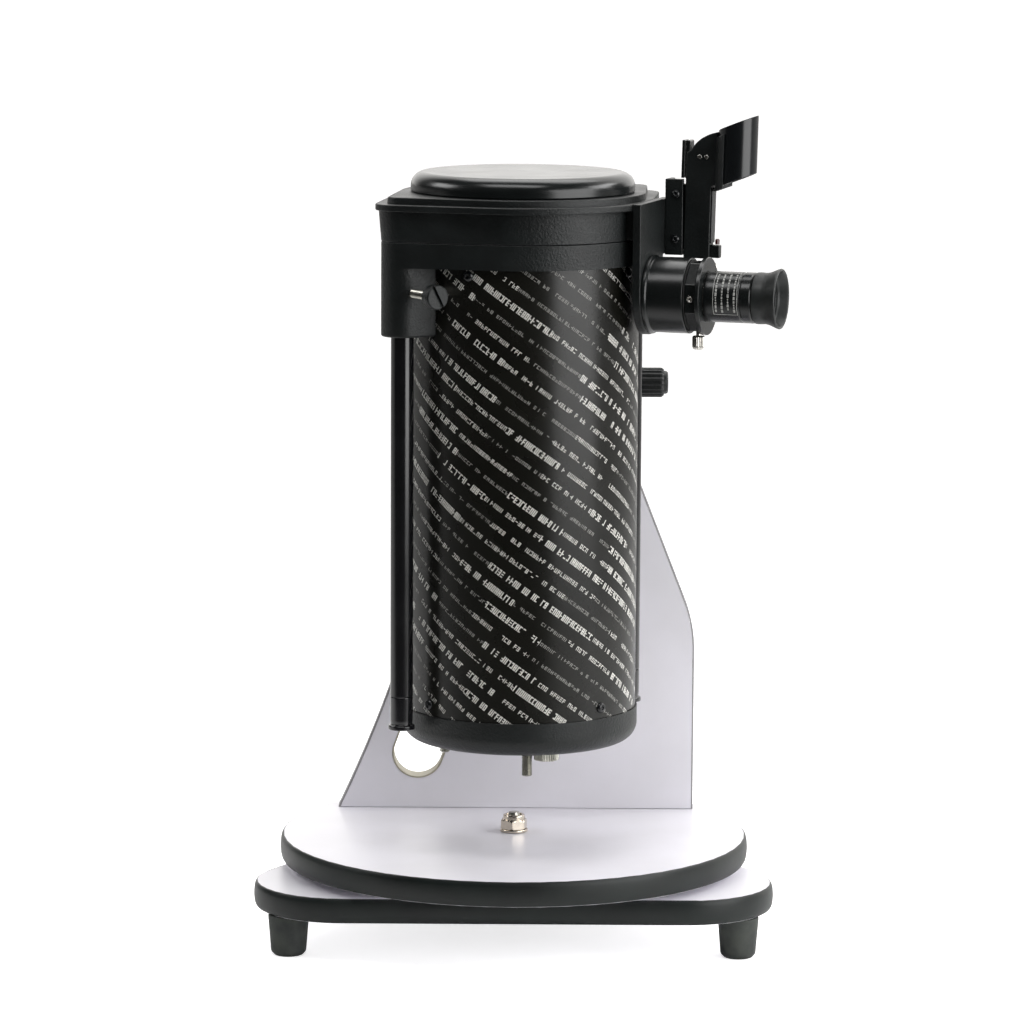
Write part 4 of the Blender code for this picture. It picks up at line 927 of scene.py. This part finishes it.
def make_focuser():
    seat = PLATE_FACE - PLATE_THICK
    half = PLATE_HALF
    outline = [Vector((half, FOCUS_Z)), Vector((half, 485.0)), Vector((half + 1.0, 486.0)),
               Vector((PLATE_WING - 1.0, 486.0)), Vector((PLATE_WING, 487.0)),
               Vector((PLATE_WING, FLANGE_HIGH)), Vector((-half, FLANGE_HIGH))]
    outline += arc((0.0, FOCUS_Z), half, 180.0, 360.0, 48)[:-1]
    flat = Matrix(((0, 0, 1, seat), (1, 0, 0, 0), (0, 1, 0, 0), (0, 0, 0, 1)))
    add("focuser_board", prism(outline, 0.0, PLATE_THICK), TEXTURED, "cage", TO_SIDE @ flat,
        replaces=["focuser_plate"], bevel=0.5)

    bore = FOCUSER_BORE
    start, end = PLATE_FACE + 0.1, HOUSING_END
    profile = [(bore, start - 4), (bore + 0.9, start - 4), (bore + 0.9, start), (26.9, start),
               (26.9, start + 2.4), (25.7, start + 3.6), (25.9, end - 6.0), (25.9, end),
               (bore, end)]
    add("focuser_barrel", hoop(profile, 0.7, FINE), SATIN, "cage", on_focuser(),
        replaces=["focuser_housing"])
    felt = [(bore, end + 0.2), (24.4, end + 0.2), (24.4, end + 1.0), (bore, end + 1.0)]
    add("felt_ring", hoop(felt, 0.2, FINE), FELT, "focus_ring", on_focuser(),
        replaces=["focuser_felt_ring"])

    start, face = DRAWTUBE_COLLAR
    end = DRAWTUBE_END
    bore = 16.1
    body = discs(thread(21.5, 1.5, DRAWTUBE_INNER_END, start), FINE)
    corners = [(p.x, p.y, 1.8) for p in (polar(21.4 / math.cos(math.pi / 8), 22.5 + 45 * i)
                                         for i in range(8))]
    collar = [lift([p * k for p in hull(corners, FINE)], z) for k, z in
              ((0.985, start), (1.0, start + 0.4), (1.0, face - 0.4), (0.985, face))]
    rim = discs(rounded([(24.5, face), (26.6, face), (26.6, end), (bore + 0.8, end),
                         (bore, end - 0.8), (bore, DRAWTUBE_INNER_END)], 0.6), FINE)
    add("drawtube_body", loft(body + collar + rim, closed=True), SATIN, "drawtube",
        on_focuser(), replaces=["focuser_drawtube"])

    centre = (start + face) / 2
    for number, angle in ((1, -90.0), (2, 30.0)):
        spoke = polar(1.0, angle).to_3d()
        shank = discs([(1.5, 16.6), (1.8, 17.0), (1.8, 26.8)], 168)
        head = stack(lambda r: knurled(r, 0.35, 21),
                     rounded([(3.4, 27.0), (4.4, 27.8), (4.4, 34.6), (3.7, 36.2),
                              (2.2, 36.8)], 0.7))
        add(f"thumbscrew_{number}", loft(shank + head), CHROME, f"eyepiece_clamp_{number}",
            on_focuser(centre) @ along((0, 0, 0), spoke), replaces=[f"eyepiece_screw_{number}"])
    glint = rounded([(1.0, 23.2), (1.4, 24.2), (2.3, 24.2), (2.3, 23.2)], 0.3)
    side = along((0, 0, 0), polar(1.0, 180.0).to_3d())
    add("collar_set_screw", lathe(glint, SMALL), CHROME, "drawtube", on_focuser(centre) @ side)


def make_eyepiece():
    radius, start, cup = EYEPIECE_R, EYEPIECE_START, EYECUP_START
    barrel = [(14.8, 103.0), (15.85, 103.0), (15.85, 109.0), (15.3, 110.5), (15.3, 116.0),
              (15.85, 117.5), (15.85, start), (14.8, start)]
    add("barrel", hoop(barrel, 0.4, FINE), CHROME, "eyepiece", on_focuser(),
        replaces=["eyepiece_barrel"])
    body = [(12.0, start), (radius - 0.2, start), (radius, start + 1.0), (radius, cup - 9.0),
            (radius - 0.5, cup - 8.6), (radius - 0.5, cup - 7.8), (radius, cup - 7.4),
            (radius, cup - 1.4), (radius - 0.7, cup - 0.3), (15.4, cup - 0.3), (15.4, 177.0),
            (12.0, 177.0)]
    add("body", hoop(body, 0.4, FINE), SATIN, "eyepiece", on_focuser(),
        replaces=["eyepiece_body"])
    end = EYECUP_END
    lip = 20.7
    section = [(15.8, cup), (17.5, cup), (17.7, cup + 3.2), (17.4, 174.0), (18.0, 177.0),
               (lip - 0.4, end - 2.2), (lip, end - 0.9), (lip - 0.9, end), (19.0, end - 0.8),
               (16.8, 178.4), (15.8, 177.2)]
    add("rubber_eyecup", hoop(section, 1.1, FINE), CUP, "eyepiece", on_focuser(),
        replaces=["eyecup"])
    keep(["eyepiece_lens", "finder_lens"], GLASS, 0.2)
    make_label(radius, 140.6, 157.6)


def make_label(radius, start, end):
    """A pale outline round rows of short dashes, on the side of the eyepiece."""
    skin = radius + 0.03
    top, bottom = 105.0, 218.0

    def patch(shape, low, high, first, last):
        steps = max(1, int(abs(last - first) / 4))
        loops = []
        for index in range(steps + 1):
            angle = first + (last - first) * index / steps
            inner, outer = polar(skin - 0.1, angle), polar(skin + 0.05, angle)
            loops.append([(inner.x, inner.y, low), (outer.x, outer.y, low),
                          (outer.x, outer.y, high), (inner.x, inner.y, high)])
        return loft(loops, shape=shape)

    marks = bmesh.new()
    line = 0.35
    edge = math.degrees(line / radius)
    patch(marks, start, start + line, top, bottom)
    patch(marks, end - line, end, top, bottom)
    patch(marks, start, end, bottom - edge, bottom)
    patch(marks, start, end, top, top + edge)
    rows = 4
    for row in range(rows):
        centre = start + (end - start) * (row + 0.5) / rows
        angle = top + 9.0
        index = 0
        while angle < bottom - 12.0:
            pick = noise.cell(Vector((row * 7.3 + 0.5, index * 1.7 + 0.5, 0.5)))
            width = 3.0 + 5.0 * abs(pick)
            half = 0.38 + 0.3 * abs(pick)
            patch(marks, centre - half, centre + half, angle, angle + width)
            angle += width + 2.2
            index += 1
    add("eyepiece_label", marks, INK, "eyepiece", on_focuser())


# ---- finder

FINDER_BACK, FINDER_FRONT = 106.0, 124.3
FINDER_NEAR, FINDER_FAR = 30.4, 40.9
FINDER_BOTTOM = 483.8
HOOD = Vector((141.0, 35.6))
HOOD_R = 13.4
HOOD_SLOPE = math.tan(math.radians(22.5))


def finder_frame():
    heel = at(105.6, 0.0, FINDER_BOTTOM)
    lean = Matrix.Rotation(math.radians(1.3), 4, "Y")
    return TO_SIDE @ heel @ lean @ heel.inverted()


def slab(outline, near, far):
    """A plate drawn in (outwards, height) and standing from near to far across."""
    return loft([[(p[0], y, p[1]) for p in outline] for y in (near, far)])


def make_finder():
    foot = PLATE_FACE + 0.2
    section = [(foot, 30.0), (105.4, 30.0), (105.4, 34.0), (96.0, 34.0), (96.0, 44.0),
               (foot, 44.0)]
    bracket = prism([Vector(p) for p in section], 485.4, 537.6)
    add("finder_angle", bracket, TEXTURED, "cage", TO_SIDE, replaces=["finder_bracket"],
        bevel=0.5)
    head = rounded([(1.4, -1.0), (1.4, 0.1), (2.9, 0.1), (2.8, 1.2), (1.7, 2.2), (0.9, 1.9),
                    (0.6, 1.1)], 0.4)
    for number, z in enumerate((496.5, 527.5), 1):
        add(f"finder_screw_{number}", lathe(head, SMALL), GLOSS, "cage",
            TO_SIDE @ along((100.6, 30.0, z), (0, -1, 0)))

    lean = finder_frame()
    near, far = FINDER_NEAR, FINDER_FAR
    spine = [Vector(p) for p in ((FINDER_BACK, FINDER_BOTTOM), (FINDER_FRONT, FINDER_BOTTOM),
                                 (FINDER_FRONT, 534.0), (127.6, 534.8), (127.6, 571.0))]
    spine += curve(Vector((127.6, 571.0)), Vector((114.5, 568.0)), Vector((109.2, 558.0)), 12)[1:]
    spine += [Vector((FINDER_BACK, 556.0))]
    add("finder_spine", slab(spine, near, far), TEXTURED, "cage", lean,
        replaces=["finder_body"], bevel=0.6)
    rail = block((97.0, 34.8, 489.0), (FINDER_BACK + 1, 40.4, 534.0))
    add("finder_rail", rail, ANODISED, "cage", lean, bevel=0.6)
    for number, (start, end) in enumerate(((102.6, 104.9), (105.5, 108.4)), 1):
        ear = rounded([(start, 538.4), (end, 538.4), (end, 564.4), (start, 564.4)], 1.1)
        add(f"finder_ear_{number}", slab(ear, near + 0.4, far), SATIN, "cage", lean, bevel=0.3)
    cradle = []
    for z in (536.0, 573.0):
        outer = arc(HOOD, HOOD_R + 1.6, 118.0, 242.0, 18)
        inner = arc(HOOD, HOOD_R + 0.15, 242.0, 118.0, 18)
        cradle.append([(p.x, p.y, z + (p.x - HOOD.x) * HOOD_SLOPE) for p in outer + inner])
    add("finder_cradle", loft(cradle), TEXTURED, "cage", lean, bevel=0.3)
    pin = rounded([(0.5, -1.0), (0.5, 0.1), (1.7, 0.1), (1.5, 0.8), (0.8, 0.9)], 0.3)
    for number, out in enumerate((115.6, 120.4), 1):
        side = along((out, near - 0.1, 553.6), (0, -1, 0))
        add(f"finder_pin_{number}", lathe(pin, SMALL), CHROME, "cage", lean @ side)
    emitter = block((FINDER_FRONT - 1.5, 32.8, 484.4), (131.0, 38.4, 493.4))
    add("finder_emitter", emitter, SATIN, "cage", lean, bevel=0.7)
    strip = block((FINDER_FRONT - 0.5, 31.2, 494.5), (FINDER_FRONT + 1.3, 39.8, 533.0))
    add("finder_front_strip", strip, GLOSS, "cage", lean, bevel=0.5)
    keep(["finder_led"], LED)
    make_hood(lean)
    make_dial(lean)


def make_hood(lean):
    low, high = 538.2, 577.8
    wall = rounded([(HOOD_R, low), (HOOD_R, high), (HOOD_R - 1.5, high), (HOOD_R - 1.5, low)],
                   0.35, closed=True)
    loops = [[Vector((p.x + HOOD.x, p.y + HOOD.y, z + p.x * HOOD_SLOPE))
              for p in circle(radius, FINE)] for radius, z in wall]
    add("finder_sight_tube", loft(loops, closed=True), GLOSS, "cage", lean,
        replaces=["finder_hood"])


def make_dial(lean):
    place = lean @ along((115.0, FINDER_FAR + 0.3, 503.0), (0, 1, 0))
    grip = stack(lambda r: knurled(r, 0.5, 20, 9),
                 rounded([(8.0, 0.0), (9.0, 0.5), (9.0, 4.6), (7.4, 5.6)], 0.4))
    face = discs([(7.0, 5.6), (6.4, 5.2), (1.0, 5.2)])
    add("finder_dial", loft(grip + face), GLOSS, "finder_switch", place,
        replaces=["finder_switch_dial"])


# ---- cap and optics

def make_cap():
    radius = (CAP_HIGH.x - CAP_LOW.x) / 2
    top = CAP_HIGH.z
    seat = 529.0
    crown = arc((radius - 9.5, top - 9.5), 9.5, 0.0, 90.0, 18)
    profile = [Vector((65.5, 519.0)), Vector((69.4, 518.6)), Vector((69.6, 519.4)),
               Vector((69.6, seat)), Vector((radius - 0.5, seat)), Vector((radius, seat + 0.6))]
    profile += crown
    profile += [Vector((2.0, top)), Vector((2.0, top - 2.4)), Vector((65.5, top - 2.4))]
    add("tube_cap", lathe(profile, FINE * 2, closed=True), SATIN, "cap", ON_TUBE,
        replaces=["dust_cap"])
    plug = lathe([(2.05, top - 2.4), (2.05, top - 0.02)], SMALL)
    add("cap_centre", plug, SATIN, "cap", ON_TUBE)
    keep(["spider_vane", "secondary_holder"], ANODISED, 0.3)


# ---- stage

def make_camera():
    """Standing well back with a long lens, looking slightly down."""
    camera = put_in_scene("camera", bpy.data.cameras.new("camera"))
    camera.data.sensor_width = 36.0
    camera.data.lens = 168.32
    camera.data.clip_end = 60.0
    stand = (Vector((0.0, -3331.1, 791.57)) + PIVOT) * MM
    aim = (Matrix.Rotation(math.radians(0.046), 4, "Z")
           @ Matrix.Rotation(math.radians(90.0 - 8.419), 4, "X")
           @ Matrix.Rotation(math.radians(0.329), 4, "Z"))
    camera.matrix_world = Matrix.Translation(stand) @ aim
    bpy.context.scene.camera = camera


def softbox(name, place, target, width, height, power):
    light = bpy.data.lights.new(name, "AREA")
    light.shape = "RECTANGLE"
    light.size = width
    light.size_y = height
    light.energy = power
    holder = put_in_scene(name, light)
    aim = (Vector(target) - Vector(place)).to_track_quat("-Z", "Y")
    holder.matrix_world = Matrix.Translation(place) @ aim.to_matrix().to_4x4()


def make_lights():
    """A large soft key light to the right, and softer ones in front, beside and above."""
    softbox("key", (1.2, -0.95, 0.62), (0.0, -0.05, 0.25), 1.3, 1.1, 18.0)
    softbox("front_top", (-0.2, -0.85, 1.85), (0.0, -0.05, 0.0), 1.3, 0.5, 10.0)
    softbox("side_right", (1.35, 0.1, 1.15), (0.0, 0.0, 0.07), 0.9, 0.5, 10.0)
    softbox("side_left", (-1.35, 0.05, 1.15), (0.0, 0.0, 0.07), 0.7, 0.5, 7.0)
    softbox("overhead", (0.1, 0.4, 1.7), (0.0, 0.0, 0.0), 1.3, 0.8, 10.0)
    make_surroundings()


def make_surroundings():
    """White to the eye all round; to the object, bright behind it and dark in front."""
    world = bpy.data.worlds.new("studio")
    bpy.context.scene.world = world
    world.use_nodes = True
    sky = Nodes(world.node_tree)
    place = sky.node("ShaderNodeTexCoord").outputs["Generated"]
    heading = sky.node("ShaderNodeSeparateXYZ", {0: place}).outputs
    leftwards = sky.maths("MINIMUM", heading["X"], 0.0)
    behind = sky.maths("MULTIPLY_ADD", leftwards, 0.9, heading["Y"])
    backdrop = sky.ranged(behind, -0.05, 0.6, 0.03, 1.6, interpolation_type="SMOOTHSTEP")
    seen = sky.node("ShaderNodeLightPath").outputs["Is Camera Ray"]
    level = sky.node("ShaderNodeMix", {"Factor": seen, "A": backdrop, "B": 1.05})
    backing = sky.tree.nodes["Background"]
    sky.feed(backing.inputs["Color"], (1.0, 0.985, 0.96, 1.0))
    sky.feed(backing.inputs["Strength"], level.outputs["Result"])


def make_floor():
    """Pale to the camera; to the object, dark in front of it."""
    shape = bmesh.new()
    reach = 30.0
    corners = [shape.verts.new((x * reach, y * reach, 0.0))
               for x, y in ((-1, -1), (1, -1), (1, 1), (-1, 1))]
    shape.faces.new(corners)
    mesh = bpy.data.meshes.new("floor")
    shape.to_mesh(mesh)
    shape.free()
    floor = put_in_scene("floor", mesh)
    pale = Finish("pale_floor", (0.93, 0.93, 0.93), 0.8)
    north = pale.node("ShaderNodeSeparateXYZ", {"Vector": pale.place}).outputs[1]
    lit = pale.ranged(north, -0.75, -0.3, 0.0, 1.0)
    seen = pale.node("ShaderNodeLightPath").outputs["Is Camera Ray"]
    shown = pale.maths("MAXIMUM", lit, seen)
    pale.paint(pale.blend(shown, (0.03, 0.03, 0.03), (0.93, 0.93, 0.93)))
    pale.smudge(3.0, 0.03)
    pale.shader.inputs["Emission Color"].default_value = (1.0, 1.0, 1.0, 1.0)
    pale.feed(pale.shader.inputs["Emission Strength"], pale.maths("MULTIPLY", seen, 0.65))
    mesh.materials.append(pale.material)


def main():
    make_camera()
    make_base()
    make_pivot_hardware()
    make_arm()
    make_bearing()
    make_tube()
    make_cell()
    make_lower_ring()
    make_upper_ring()
    make_truss()
    make_focuser()
    make_eyepiece()
    make_finder()
    make_cap()
    make_lights()
    make_floor()
    bpy.context.scene.view_settings.view_transform = "Standard"


main()
